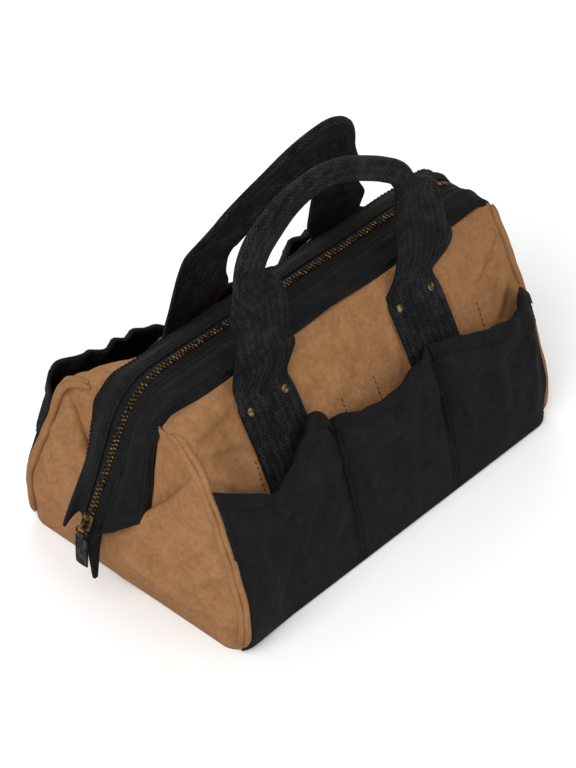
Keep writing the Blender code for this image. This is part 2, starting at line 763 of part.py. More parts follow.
def link_axis():
    """The pull link's axis in the slider's own axes: its place along the zip and out of it."""
    swing = LINK_RADIUS + SLIDER_CLEARANCE
    place = BAIL_WALL - SLIDER_LENGTH / 2 + swing
    return place, SLIDER_CLEARANCE + SLIDER_PLATE + BAIL_HEIGHT - BAIL_WALL - swing


def make_slider(finishes, collection, helpers):
    """The zip slider: a plate over the chain, one under it, the web between and the bail on top."""
    frame = run_frame()
    top = SLIDER_CLEARANCE + SLIDER_PLATE
    under = -CHAIN_THICKNESS - SLIDER_CLEARANCE
    overlap = SLIDER_PLATE / 4
    post_shift = (BAIL_LENGTH - BAIL_WALL) / 2
    web_width = 2 * (CHAIN_SLIT - SLIDER_CLEARANCE)
    crown = top + BAIL_HEIGHT
    centre = bail_place()
    middle = (0, 0, SLIDER_CLEARANCE + SLIDER_PLATE / 2)
    working = block_mesh((SLIDER_LENGTH, SLIDER_WIDTH, SLIDER_PLATE), middle)
    obj = place_object("zip_slider", mesh_from(working, "zip_slider"), finishes["antique_brass"], collection)
    blocks = (
        ("slider_web", SLIDER_WEB_LENGTH, web_width, under - overlap, SLIDER_CLEARANCE + overlap, 0),
        ("slider_under", SLIDER_LENGTH, SLIDER_INNER_WIDTH, under - SLIDER_PLATE, under, 0),
        ("bail_low_post", BAIL_WALL, BAIL_WIDTH, top - overlap, crown, centre - post_shift),
        ("bail_high_post", BAIL_WALL, BAIL_WIDTH, top - overlap, crown, centre + post_shift),
        ("bail_bar", BAIL_LENGTH, BAIL_WIDTH, crown - BAIL_WALL, crown, centre),
    )
    for name, length, width, low, high, place in blocks:
        working = block_mesh((length, width, high - low), (place, 0, (low + high) / 2))
        part = make_helper(name, working, helpers)
        part.matrix_world = frame
        add_boolean(obj, part, "UNION")
    obj.matrix_world = frame


def make_link(finishes, collection):
    """The wire link that hangs in the bail and carries the pull tab."""
    place, out = link_axis()
    axis = run_frame() @ Vector((place, 0, out))
    half = LINK_WIDTH / 2
    corners = (
        (half - LINK_CORNER, -LINK_CORNER, 90),
        (half - LINK_CORNER, LINK_CORNER - LINK_DROP, 0),
        (LINK_CORNER - half, LINK_CORNER - LINK_DROP, -90),
        (LINK_CORNER - half, -LINK_CORNER, -180),
    )
    points = []
    for across, height, start in corners:
        for step in range(LINK_CORNER_STEPS + 1):
            angle = math.radians(start - 90 * step / LINK_CORNER_STEPS)
            rise = LINK_CORNER * math.sin(angle)
            points.append(Vector((0, across + LINK_CORNER * math.cos(angle), height + rise)))
    obj = make_tube("pull_link", points, LINK_RADIUS, finishes["antique_brass"], collection)
    obj.data.splines[0].use_cyclic_u = True
    obj.location = axis


def make_pull(finishes, collection, helpers):
    """The pull tab, a strip rolled into a knuckle round the link's lower bar."""
    place, out = link_axis()
    axis = run_frame() @ Vector((place, 0, out)) - Vector((0, 0, LINK_DROP))
    working = block_mesh((PULL_THICKNESS, PULL_WIDTH, PULL_LENGTH), (0, 0, -KNUCKLE_RADIUS - PULL_LENGTH / 2))
    round_edges(working, Vector((1, 0, 0)), PULL_CORNER, LINK_CORNER_STEPS)
    obj = place_object("pull_tab", mesh_from(working, "pull_tab"), finishes["gunmetal"], collection)
    obj.location = axis
    lie = Matrix.Rotation(math.pi / 2, 4, "X")
    knuckle = bmesh.new()
    bmesh.ops.create_cone(knuckle, cap_ends=True, segments=ROUND_STEPS, radius1=KNUCKLE_RADIUS,
                          radius2=KNUCKLE_RADIUS, depth=KNUCKLE_WIDTH, matrix=lie)
    neck = block_mesh((PULL_THICKNESS, KNUCKLE_WIDTH, 2 * KNUCKLE_RADIUS), (0, 0, -KNUCKLE_RADIUS))
    bore = bmesh.new()
    bore_radius = LINK_RADIUS + SLIDER_CLEARANCE
    bmesh.ops.create_cone(bore, cap_ends=True, segments=ROUND_STEPS, radius1=bore_radius, radius2=bore_radius,
                          depth=2 * KNUCKLE_WIDTH, matrix=lie)
    for name, working, operation in (
        ("pull_knuckle", knuckle, "UNION"),
        ("pull_neck", neck, "UNION"),
        ("pull_bore", bore, "DIFFERENCE"),
    ):
        helper = make_helper(name, working, helpers)
        helper.location = axis
        add_boolean(obj, helper, operation)


def loop_tangent(points, index):
    """A handle's direction at one of its points: straight up or down where it meets the straps."""
    if index == 0:
        return Vector((0, 1))
    if index == len(points) - 1:
        return Vector((0, -1))
    return (points[index + 1] - points[index - 1]).normalized()


def handle_section(progress):
    """A handle's half width, half thickness and share of folding, at its share of the way round."""
    from_end = min(progress, 1 - progress)
    fold = smooth_share((from_end - LEG_SHARE) / FOLD_SHARE)
    half_width = (STRAP_WIDTH + (GRIP_WIDTH - STRAP_WIDTH) * fold) / 2
    half_thickness = (HANDLE_THICKNESS + (GRIP_THICKNESS - HANDLE_THICKNESS) * fold) / 2
    return half_width, half_thickness, fold


def make_handle(side, name, shares, finishes, collection):
    """One webbing handle: a leg from each strap and a folded grip between them."""
    root = wall_point(side, STRAP_SHIFTS[side], HINGE_PLACE, HINGE_STAND)
    lean = math.radians(HANDLE_LEAN_DEGREES)
    upward = Vector((0, -side * math.sin(lean), math.cos(lean)))
    flatwise = Vector((0, side * math.cos(lean), math.sin(lean)))
    points = loop_points(shares, KNOT_STEPS)
    rings = []
    for index, point in enumerate(points):
        tangent = loop_tangent(points, index)
        normal = Vector((-tangent.y, tangent.x))
        half_width, half_thickness, fold = handle_section(index / (len(points) - 1))
        power = FLAT_POWER + ROUNDING_POWER * fold
        ring = []
        for step in range(SECTION_STEPS):
            angle = 2 * math.pi * (step + HALF_SHARE) / SECTION_STEPS
            wide = math.copysign(abs(math.cos(angle)) ** power, math.cos(angle)) * half_width
            thick = math.copysign(abs(math.sin(angle)) ** power, math.sin(angle)) * half_thickness
            flat = point + normal * wide
            ring.append(Vector((flat.x, 0, 0)) + upward * flat.y + flatwise * thick)
        rings.append(ring)
    obj = make_loft(f"{name}_handle", rings, finishes["black_webbing"], collection)
    obj.location = root


def main():
    clear_scene()
    collection = bpy.data.collections.new("tool_bag")
    helpers = bpy.data.collections.new("helpers")
    bpy.context.scene.collection.children.link(collection)
    bpy.context.scene.collection.children.link(helpers)
    finishes = make_finishes()
    make_base(finishes, collection)
    for end, end_name in ENDS:
        make_end_panel(end, end_name, finishes, collection)
        make_pleat(end, end_name, finishes, collection)
        make_pin(end, end_name, finishes, collection)
        make_tail(end, end_name, finishes, collection)
    for side, side_name in SIDES:
        make_wall(side, side_name, finishes, collection)
        make_pockets(side, side_name, finishes, collection)
        make_inner_pocket(side, side_name, finishes, collection)
        make_band(side, side_name, finishes, collection)
        make_chain(side, side_name, finishes, collection)
        make_wire(side, side_name, finishes, collection)
        for end, end_name in ENDS:
            name = f"{side_name}_{end_name}"
            make_welt(side, end, name, finishes, collection)
            make_gusset(side, end, name, finishes, collection)
            make_strap(side, end, name, finishes, collection)
            make_rivets(side, end, name, finishes, collection)
    make_handle(FRONT, "front", FRONT_LOOP_SHARES, finishes, collection)
    make_handle(BACK, "back", BACK_LOOP_SHARES, finishes, collection)
    make_slider(finishes, collection, helpers)
    make_link(finishes, collection)
    make_pull(finishes, collection, helpers)


main()
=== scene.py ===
"""Wide-mouth canvas tool bag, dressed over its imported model.

Metres, +Z up, -Y the front, +X from the end with the zip slider to the far end. Each sub-assembly is a class
that holds its sizes and builds its own pieces, and each finish is a small frozen class.
"""

from __future__ import annotations

import logging
import math
from dataclasses import dataclass, field
from enum import Enum
from typing import Sequence

import bmesh
import bpy
import numpy as np
from mathutils import Matrix, Vector

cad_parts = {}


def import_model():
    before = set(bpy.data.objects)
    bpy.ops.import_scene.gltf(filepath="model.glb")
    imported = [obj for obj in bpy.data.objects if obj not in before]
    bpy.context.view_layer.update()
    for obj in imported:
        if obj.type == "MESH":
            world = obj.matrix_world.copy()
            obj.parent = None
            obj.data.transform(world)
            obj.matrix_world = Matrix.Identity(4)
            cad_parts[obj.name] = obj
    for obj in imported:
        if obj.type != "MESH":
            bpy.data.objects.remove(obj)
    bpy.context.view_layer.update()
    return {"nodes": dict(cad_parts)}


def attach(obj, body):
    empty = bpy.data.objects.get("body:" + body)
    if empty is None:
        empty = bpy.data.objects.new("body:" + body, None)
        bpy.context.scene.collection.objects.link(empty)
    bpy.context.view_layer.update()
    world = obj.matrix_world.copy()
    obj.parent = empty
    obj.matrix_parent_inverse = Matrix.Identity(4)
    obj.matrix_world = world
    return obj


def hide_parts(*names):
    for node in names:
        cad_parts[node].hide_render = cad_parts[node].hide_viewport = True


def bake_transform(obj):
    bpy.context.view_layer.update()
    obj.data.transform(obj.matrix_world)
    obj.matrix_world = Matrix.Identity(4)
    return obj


LOG = logging.getLogger("tool_bag")
TAU = 2 * math.pi
Array = np.ndarray
Number = float | np.ndarray
Mesh = bpy.types.Mesh
Material = bpy.types.Material
Colour = tuple[float, float, float]
Pair = tuple[float, float]
# A fold line: its start along and up, its end along and up, its width and its height
Fold = tuple[float, float, float, float, float, float]


class Side(Enum):
    """The two long sides of the bag."""

    FRONT = -1
    BACK = 1

    @property
    def word(self) -> str:
        """The side's name as the bodies spell it."""
        return self.name.lower()


class End(Enum):
    """The two short ends of the bag."""

    LEFT = -1
    RIGHT = 1

    @property
    def word(self) -> str:
        """The end's name as the nodes spell it."""
        return self.name.lower()


class Weave(Enum):
    """How a cloth's threads cross."""

    PLAIN = "plain"
    TWILL = "twill"
    WEBBING = "webbing"
    RIBBED = "ribbed"


# Number helpers


def lerp(first: Number, last: Number, share: Number) -> Number:
    """Goes from first to last by a share."""
    return first + (last - first) * share


def smooth(share: Number) -> Number:
    """A share from 0 to 1 that starts and ends flat."""
    held = np.clip(share, 0.0, 1.0)
    return held * held * (3 - 2 * held)


def bell(distance: Number, width: float) -> Number:
    """A soft hump, 1 at no distance."""
    return np.exp(-((distance / width) ** 2))


def squarish(value: Number, power: Number) -> Number:
    """A sine or cosine drawn out towards a square by a power below 1."""
    return np.sign(value) * np.abs(value) ** power


def softened(line: Array, reach: int, mode: str) -> Array:
    """A line of numbers averaged over its neighbours.

    Args:
        line: The numbers, evenly spaced.
        reach: How many neighbours count on each side.
        mode: How numpy's convolve treats the two ends.

    Returns:
        The averaged numbers.
    """
    spread = 7.0
    kernel = bell(np.arange(-reach, reach + 1), spread)
    return np.convolve(line, kernel / kernel.sum(), mode=mode)


def waves(u: Array, v: Array, length: float, seed: int) -> Array:
    """Soft unevenness, about -1 to 1.

    Args:
        u: Place along the cloth, in metres.
        v: Place up the cloth, in metres.
        length: Usual distance between two humps.
        seed: Picks the pattern.

    Returns:
        The height at each place.
    """
    draw = np.random.default_rng(seed)
    total = np.zeros(np.broadcast(u, v).shape)
    for _ in range(8):
        angle = draw.uniform(0, math.pi)
        pace = draw.uniform(0.6, 1.7) * TAU / length
        total = total + np.sin((u * math.cos(angle) + v * math.sin(angle)) * pace + draw.uniform(0, TAU))
    return total / 4.5


def crease(u: Array, v: Array, start: Pair, end: Pair, width: float) -> Array:
    """A fold line from start to end.

    Args:
        u: Place along the cloth.
        v: Place up the cloth.
        start: Where the fold starts.
        end: Where the fold ends.
        width: How far it reaches to its sides.

    Returns:
        1 on the line, fading to its sides and its ends.
    """
    along = np.array(end, float) - np.array(start, float)
    length = float(np.hypot(*along))
    along = along / length
    du, dv = u - start[0], v - start[1]
    held = np.clip(du * along[0] + dv * along[1], 0.0, length)
    away = np.hypot(du - held * along[0], dv - held * along[1])
    taper = np.sin(np.clip(held / length, 0.04, 0.96) * math.pi) ** 0.6
    return bell(away, width) * taper


def folded(u: Array, v: Array, folds: Sequence[Fold]) -> Array:
    """Several fold lines together.

    Args:
        u: Place along the cloth.
        v: Place up the cloth.
        folds: The fold lines.

    Returns:
        The height at each place.
    """
    total = np.zeros(np.broadcast(u, v).shape)
    for u0, v0, u1, v1, width, height in folds:
        total = total + height * crease(u, v, (u0, v0), (u1, v1), width)
    return total


def grid(columns: int, rows: int) -> tuple[Array, Array]:
    """Two arrays of shares, across the columns and up the rows."""
    return np.meshgrid(np.linspace(0, 1, columns + 1), np.linspace(0, 1, rows + 1))


def stack(x: Number, y: Number, z: Number) -> Array:
    """One array of points from three arrays of coordinates."""
    shape = np.broadcast(x, y, z).shape
    return np.stack([np.broadcast_to(value, shape).astype(float) for value in (x, y, z)], axis=-1)


def arc_lengths(points: Array, axis: int = 0) -> Array:
    """Running length along a line or one axis of a grid.

    Args:
        points: A line or a grid of points.
        axis: The axis to measure along.

    Returns:
        The length from the first point to each point.
    """
    steps = np.linalg.norm(np.diff(points, axis=axis), axis=-1)
    start = np.zeros_like(np.take(steps, [0], axis=axis))
    return np.concatenate([start, np.cumsum(steps, axis=axis)], axis=axis)


def unit(vectors: Array) -> Array:
    """Vectors of length one."""
    return vectors / np.maximum(np.linalg.norm(vectors, axis=-1, keepdims=True), 1e-12)


# Mesh builders


def build_mesh(name: str, points: Array, faces: Sequence, uv: Array,
               parts: Sequence[int] | None = None) -> Mesh:
    """A smooth mesh with a map in metres.

    Args:
        name: The mesh's name.
        points: Its points.
        faces: Lists of point numbers.
        uv: One pair for each point.
        parts: Material index of each face, or nothing for one material.

    Returns:
        The mesh.
    """
    mesh = bpy.data.meshes.new(name)
    mesh.from_pydata(points.tolist(), [], [list(face) for face in faces])
    corner = np.empty(len(mesh.loops), np.int32)
    mesh.loops.foreach_get("vertex_index", corner)
    layer = mesh.uv_layers.new(name="cloth")
    layer.data.foreach_set("uv", uv[corner].astype(np.float32).ravel())
    if parts is not None:
        mesh.polygons.foreach_set("material_index", np.asarray(parts, np.int32))
    mesh.shade_smooth()
    mesh.update()
    return mesh


def cloth_shell(name: str, points: Array, facing: Sequence[float], thickness: float,
                uv: Array | None = None) -> Mesh:
    """A closed thin shell under a grid of points, with a rounded rim.

    Args:
        name: The mesh's name.
        points: Rows by columns of points on the outer face.
        facing: A direction that the outer face looks to on the whole.
        thickness: Thickness of the cloth.
        uv: Rows by columns of places in metres, or nothing to measure them.

    Returns:
        The mesh, with material 0 on its outer face and rim and material 1 on its inner face.
    """
    normals = unit(np.cross(np.gradient(points, axis=1), np.gradient(points, axis=0)))
    sign = 1.0 if float((normals @ np.asarray(facing, float)).sum()) >= 0 else -1.0
    normals = normals * sign
    rows, columns = points.shape[:2]
    if uv is None:
        uv = np.stack([arc_lengths(points, 1), arc_lengths(points, 0)], axis=-1)
    index = np.arange(rows * columns).reshape(rows, columns)
    ring = np.concatenate([index[0, :-1], index[:-1, -1], index[-1, :0:-1], index[:0:-1, 0]])
    outer = points.reshape(-1, 3)
    inner = (points - normals * thickness).reshape(-1, 3)
    middle = (outer[ring] + inner[ring]) / 2
    about = np.roll(middle, -1, axis=0) - np.roll(middle, 1, axis=0)
    push = unit(np.cross(about, normals.reshape(-1, 3)[ring])) * sign
    rim = middle + push * thickness * 0.32
    count = len(outer)
    low, high = index[:-1, :-1].ravel(), index[1:, 1:].ravel()
    right, left = index[:-1, 1:].ravel(), index[1:, :-1].ravel()
    faces = list(zip(low, right, high, left))
    faces += [[corner + count for corner in quad] for quad in zip(left, high, right, low)]
    parts = [0] * len(low) + [1] * len(low) + [0] * 2 * len(ring)
    for step, corner in enumerate(ring):
        after = (step + 1) % len(ring)
        first, second = 2 * count + step, 2 * count + after
        faces.append((ring[after], corner, first, second))
        faces.append((second, first, corner + count, ring[after] + count))
    if sign < 0:
        faces = [list(reversed(face)) for face in faces]
    flat = uv.reshape(-1, 2)
    places = np.concatenate([flat, flat, flat[ring]])
    return build_mesh(name, np.concatenate([outer, inner, rim]), faces, places, parts)


def lofted(name: str, rings: Array, closed: bool = False) -> Mesh:
    """A closed body through rings of points.

    Args:
        name: The mesh's name.
        rings: Rings by points by coordinates.
        closed: Whether the last ring joins the first, as in a link.

    Returns:
        The mesh.
    """
    count, sides = rings.shape[:2]
    index = np.arange(count * sides).reshape(count, sides)
    around = arc_lengths(np.concatenate([rings, rings[:, :1]], axis=1), 1)[:, :-1]
    along = arc_lengths(rings, 0)
    flat = np.stack([along.mean(axis=1, keepdims=True) + 0 * around, around], axis=-1).reshape(-1, 2)
    points = rings.reshape(-1, 3)
    faces = []
    spans = count if closed else count - 1
    for step in range(spans):
        lower, upper = index[step], index[(step + 1) % count]
        for place in range(sides):
            after = (place + 1) % sides
            faces.append((lower[place], lower[after], upper[after], upper[place]))
    if not closed:
        for row, order in ((index[0], -1), (index[-1], 1)):
            centre = len(points)
            points = np.concatenate([points, points[row].mean(axis=0)[None]])
            flat = np.concatenate([flat, flat[row].mean(axis=0)[None]])
            for place in range(sides):
                pair = (row[place], row[(place + 1) % sides])
                faces.append((*pair, centre) if order > 0 else (*reversed(pair), centre))
    corners = points[np.array([face[:3] for face in faces])]
    volume = np.einsum("ij,ij->i", corners[:, 0], np.cross(corners[:, 1], corners[:, 2])).sum()
    if volume < 0:
        faces = [tuple(reversed(face)) for face in faces]
    return build_mesh(name, points, faces, flat)


def frames_along(path: Array, closed: bool = False) -> tuple[Array, Array]:
    """Directions square to a path that turn as little as they can.

    Args:
        path: Its points.
        closed: Whether the path joins up.

    Returns:
        Two arrays of unit vectors, square to the path and to each other.
    """
    if closed:
        tangents = unit(np.roll(path, -1, axis=0) - np.roll(path, 1, axis=0))
    else:
        tangents = unit(np.gradient(path, axis=0))
    normal = np.array([0.0, 1.0, 0.0]) if abs(tangents[0][1]) < 0.9 else np.array([1.0, 0.0, 0.0])
    normals = []
    for tangent in tangents:
        normal = normal - tangent * float(normal @ tangent)
        normal = normal / np.linalg.norm(normal)
        normals.append(normal)
    return np.array(normals), np.cross(tangents, np.array(normals))


def round_tube(name: str, path: Array, radius: Number, sides: int = 12, closed: bool = False) -> Mesh:
    """A round tube along a path.

    Args:
        name: The mesh's name.
        path: Its points.
        radius: One radius, or one for each point.
        sides: Points round the tube.
        closed: Whether the path joins up.

    Returns:
        The mesh.
    """
    normal, second = frames_along(path, closed)
    radii = np.broadcast_to(np.asarray(radius, float), (len(path),))
    turn = np.arange(sides) * TAU / sides
    rings = (path[:, None] + radii[:, None, None] * (np.cos(turn)[None, :, None] * normal[:, None]
             + np.sin(turn)[None, :, None] * second[:, None]))
    return lofted(name, rings, closed)


def soft_block(name: str, size: Sequence[float], centre: Sequence[float], bevel: float, steps: int = 3,
               turn: Matrix | None = None) -> Mesh:
    """A box with rounded edges, placed in its mesh.

    Args:
        name: The mesh's name.
        size: Its three sides.
        centre: Its middle before it is turned.
        bevel: Radius of its edges.
        steps: Steps in each rounding.
        turn: A matrix for its final place, or nothing.

    Returns:
        The mesh.
    """
    working = bmesh.new()
    bmesh.ops.create_cube(working, size=1, matrix=Matrix.Translation(centre) @ Matrix.Diagonal((*size, 1)))
    bmesh.ops.bevel(working, geom=list(working.edges), offset=bevel, segments=steps, profile=0.5,
                    affect="EDGES")
    if turn is not None:
        bmesh.ops.transform(working, matrix=turn, verts=working.verts)
    bmesh.ops.recalc_face_normals(working, faces=working.faces)
    mesh = bpy.data.meshes.new(name)
    working.to_mesh(mesh)
    working.free()
    mesh.shade_smooth()
    mesh.set_sharp_from_angle(angle=math.radians(50))
    return mesh


def joined(name: str, meshes: Sequence[Mesh]) -> Mesh:
    """Several meshes as one, each closed on its own.

    Args:
        name: The new mesh's name.
        meshes: The meshes, which are used up.

    Returns:
        The mesh.
    """
    working = bmesh.new()
    for mesh in meshes:
        working.from_mesh(mesh)
    whole = bpy.data.meshes.new(name)
    working.to_mesh(whole)
    working.free()
    for mesh in meshes:
        bpy.data.meshes.remove(mesh)
    return whole


def add_piece(name: str, mesh: Mesh, finishes: Sequence[Material],
              nodes: Sequence[str] = ()) -> bpy.types.Object:
    """Puts a finished mesh in the scene.

    Args:
        name: The piece's name.
        mesh: Its mesh, in place.
        finishes: Its materials in order.
        nodes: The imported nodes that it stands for.

    Returns:
        The piece, not yet on a body.
    """
    mesh.materials.clear()
    for finish in finishes:
        mesh.materials.append(finish)
    piece = bpy.data.objects.new(name, mesh)
    bpy.context.scene.collection.objects.link(piece)
    if nodes:
        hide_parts(*nodes)
    LOG.info("%s: %d points", name, len(mesh.vertices))
    return piece


# Shader building


@dataclass
class Socket:
    """A node's output with arithmetic on it."""

    graph: Graph
    link: bpy.types.NodeSocket

    def _join(self, operation: str, first: Socket | float, second: Socket | float) -> Socket:
        """One Math node."""
        return self.graph.add("ShaderNodeMath", {"operation": operation}, {0: first, 1: second})

    def __add__(self, other: Socket | float) -> Socket:
        """Sum."""
        return self._join("ADD", self, other)

    __radd__ = __add__

    def __sub__(self, other: Socket | float) -> Socket:
        """Difference."""
        return self._join("SUBTRACT", self, other)

    def __rsub__(self, other: Socket | float) -> Socket:
        """Difference the other way."""
        return self._join("SUBTRACT", other, self)

    def __mul__(self, other: Socket | float) -> Socket:
        """Product."""
        return self._join("MULTIPLY", self, other)

    __rmul__ = __mul__

    def sine(self) -> Socket:
        """Sine."""
        return self.graph.add("ShaderNodeMath", {"operation": "SINE"}, {0: self})

    def spread(self, low: float, high: float) -> Socket:
        """Remaps low..high to 0..1 and holds it there."""
        return self.graph.add("ShaderNodeMapRange", {"clamp": True}, {0: self, 1: low, 2: high})


class Graph:
    """The node tree of one material."""

    def __init__(self, name: str) -> None:
        """Starts a material with a Principled shader.

        Args:
            name: The material's name.
        """
        self.material = bpy.data.materials.new(name)
        self.material.use_nodes = True
        self.tree = self.material.node_tree
        self.shader = self.tree.nodes["Principled BSDF"]

    def add(self, kind: str, settings: dict, inputs: dict, output: int | str = 0) -> Socket:
        """Adds one node.

        Args:
            kind: The node's type.
            settings: Properties, set first.
            inputs: Values or links by socket name or number.
            output: Which output is wanted.

        Returns:
            That output.
        """
        node = self.tree.nodes.new(kind)
        for key, value in settings.items():
            setattr(node, key, value)
        for key, value in inputs.items():
            self.feed(node.inputs[key], value)
        return Socket(self, node.outputs[output])

    def feed(self, target: bpy.types.NodeSocket, value: Socket | float | str | tuple) -> None:
        """Links an output to a socket, or sets the socket's value.

        Args:
            target: The socket.
            value: An output, or a value of the socket's kind.
        """
        if isinstance(value, Socket):
            self.tree.links.new(value.link, target)
        elif isinstance(value, tuple) and len(value) == 3 and target.type == "RGBA":
            target.default_value = (*value, 1.0)
        else:
            target.default_value = value

    def place(self) -> Socket:
        """Where a point lies on the piece, in metres."""
        return self.add("ShaderNodeTexCoord", {}, {}, "Object")

    def noise(self, vector: Socket, scale: float, detail: float = 2.0) -> Socket:
        """Noise from 0 to 1 at a scale in humps to the metre."""
        return self.add("ShaderNodeTexNoise", {}, {"Vector": vector, "Scale": scale, "Detail": detail}, "Fac")

    def mix(self, share: Socket | float, first: Socket | Colour, second: Socket | Colour) -> Socket:
        """Mixes two colours.

        Args:
            share: How much of the second colour.
            first: The first colour.
            second: The second colour.

        Returns:
            The mixed colour.
        """
        return self.add("ShaderNodeMix", {"data_type": "RGBA"}, {0: share, 6: first, 7: second}, 2)

    def surface(self, **values: Socket | float | Colour) -> None:
        """Sets the shader's sockets, spelled with underscores."""
        for key, value in values.items():
            self.feed(self.shader.inputs[key.replace("_", " ")], value)

    def bump(self, height: Socket, strength: float, distance: float) -> None:
        """Feeds a height to the shader's normal."""
        inputs = {"Height": height, "Strength": strength, "Distance": distance}
        self.surface(Normal=self.add("ShaderNodeBump", {}, inputs))


# Finishes


@dataclass(frozen=True)
class Cloth:
    """Woven cloth, webbing or tape, on a map in metres."""

    name: str
    dark: Colour
    light: Colour
    weave: Weave
    pitch: float
    relief: float
    roughness: float = 0.9
    mottle: float = 0.25
    worn: float = 0.0
    contrast: Pair = (0.40, 0.98)

    def threads(self, u: Socket, v: Socket) -> Socket:
        """The weave.

        Args:
            u: Place along the cloth.
            v: Place up the cloth.

        Returns:
            Height of the threads, 0 to 1.
        """
        pace = TAU / self.pitch
        if self.weave is Weave.PLAIN:
            height = (u * pace).sine() * (v * pace).sine()
        elif self.weave is Weave.TWILL:
            height = (u * pace + v * pace).sine() * 0.65 + (u * (2 * pace) - v * pace).sine() * 0.35
        elif self.weave is Weave.WEBBING:
            shifted = v * pace + (u * (pace * 0.5)).sine() * 1.3
            height = shifted.sine() * (u * pace).sine() * 0.75 + (v * (pace * 0.5)).sine() * 0.25
        else:
            height = (u * pace).sine()
        return height * 0.5 + 0.5

    def make(self) -> Material:
        """Builds the material.

        Returns:
            The material.
        """
        graph = Graph(self.name)
        flat = graph.add("ShaderNodeUVMap", {"uv_map": "cloth"}, {})
        u, v = (graph.add("ShaderNodeSeparateXYZ", {}, {0: flat}, axis) for axis in (0, 1))
        place = graph.place()
        drift = graph.noise(flat, 0.35 / self.pitch)
        fuzz = graph.noise(flat, 1.4 / self.pitch, 3.0)
        slub = graph.noise(flat, 0.08 / self.pitch, 3.0)
        wobble = drift * (self.pitch * 0.9)
        threads = self.threads(u + wobble, v + wobble)
        # The share from dark to light follows the thread height that also drives the bump. Raised threads
        # come out lighter and the hollows between them darker, which is painted shade. Fuzz, drift and slub
        # add random tone on top.
        weave_shade_and_tone = (threads * 0.45 + fuzz * 0.35 + drift * 0.55 + (slub - 0.5) * 0.5).spread(*self.contrast)
        shade = tuple(value * (1 - self.mottle) for value in self.dark)
        cloud = graph.noise(place, 14.0, 4.0).spread(0.42, 0.72)
        colour = graph.mix(cloud * self.mottle, graph.mix(weave_shade_and_tone, self.dark, self.light), shade)
        if self.worn:
            rub = graph.noise(place, 60.0, 5.0).spread(0.60, 0.78)
            pale = tuple(min(1.0, value * 1.35 + 0.01) for value in self.light)
            colour = graph.mix(rub * weave_shade_and_tone * self.worn, colour, pale)
        graph.surface(Base_Color=colour, Roughness=fuzz * 0.12 + (self.roughness - 0.06),
                      Specular_IOR_Level=0.12)
        graph.bump(threads * 0.7 + fuzz * 0.3, 0.75, self.relief)
        return graph.material


@dataclass(frozen=True)
class Metal:
    """Metal with a darker skin rubbed through to a bright one."""

    name: str
    dark: Colour
    bright: Colour
    roughness: float = 0.38
    grain: float = 900.0

    def make(self) -> Material:
        """Builds the material.

        Returns:
            The material.
        """
        graph = Graph(self.name)
        place = graph.place()
        rubbed = graph.noise(place, self.grain * 0.35, 4.0).spread(0.40, 0.66)
        fine = graph.noise(place, self.grain * 2.0)
        graph.surface(Base_Color=graph.mix(rubbed, self.dark, self.bright), Metallic=1.0,
                      Roughness=(1 - rubbed) * 0.22 + fine * 0.1 + (self.roughness - 0.1))
        graph.bump(fine * 0.5 + rubbed * 0.5, 0.25, 0.0002)
        return graph.material


@dataclass(frozen=True)
class Board:
    """Grey-brown pressed board with flecks."""

    name: str = "pressed_board"
    dark: Colour = (0.10, 0.085, 0.07)
    light: Colour = (0.17, 0.15, 0.125)

    def make(self) -> Material:
        """Builds the material.

        Returns:
            The material.
        """
        graph = Graph(self.name)
        flecks = graph.noise(graph.place(), 700.0, 4.0).spread(0.35, 0.7)
        graph.surface(Base_Color=graph.mix(flecks, self.dark, self.light), Roughness=flecks * 0.15 + 0.7)
        graph.bump(flecks, 0.4, 0.0004)
        return graph.material


@dataclass(frozen=True)
class Thread:
    """Twisted sewing thread."""

    name: str
    colour: Colour

    def make(self) -> Material:
        """Builds the material.

        Returns:
            The material.
        """
        graph = Graph(self.name)
        twist = graph.noise(graph.place(), 1800.0)
        pale = tuple(min(1.0, value * 1.8) for value in self.colour)
        graph.surface(Base_Color=graph.mix(twist, self.colour, pale), Roughness=twist * 0.2 + 0.7,
                      Specular_IOR_Level=0.1)
        graph.bump(twist, 0.4, 0.0002)
        return graph.material


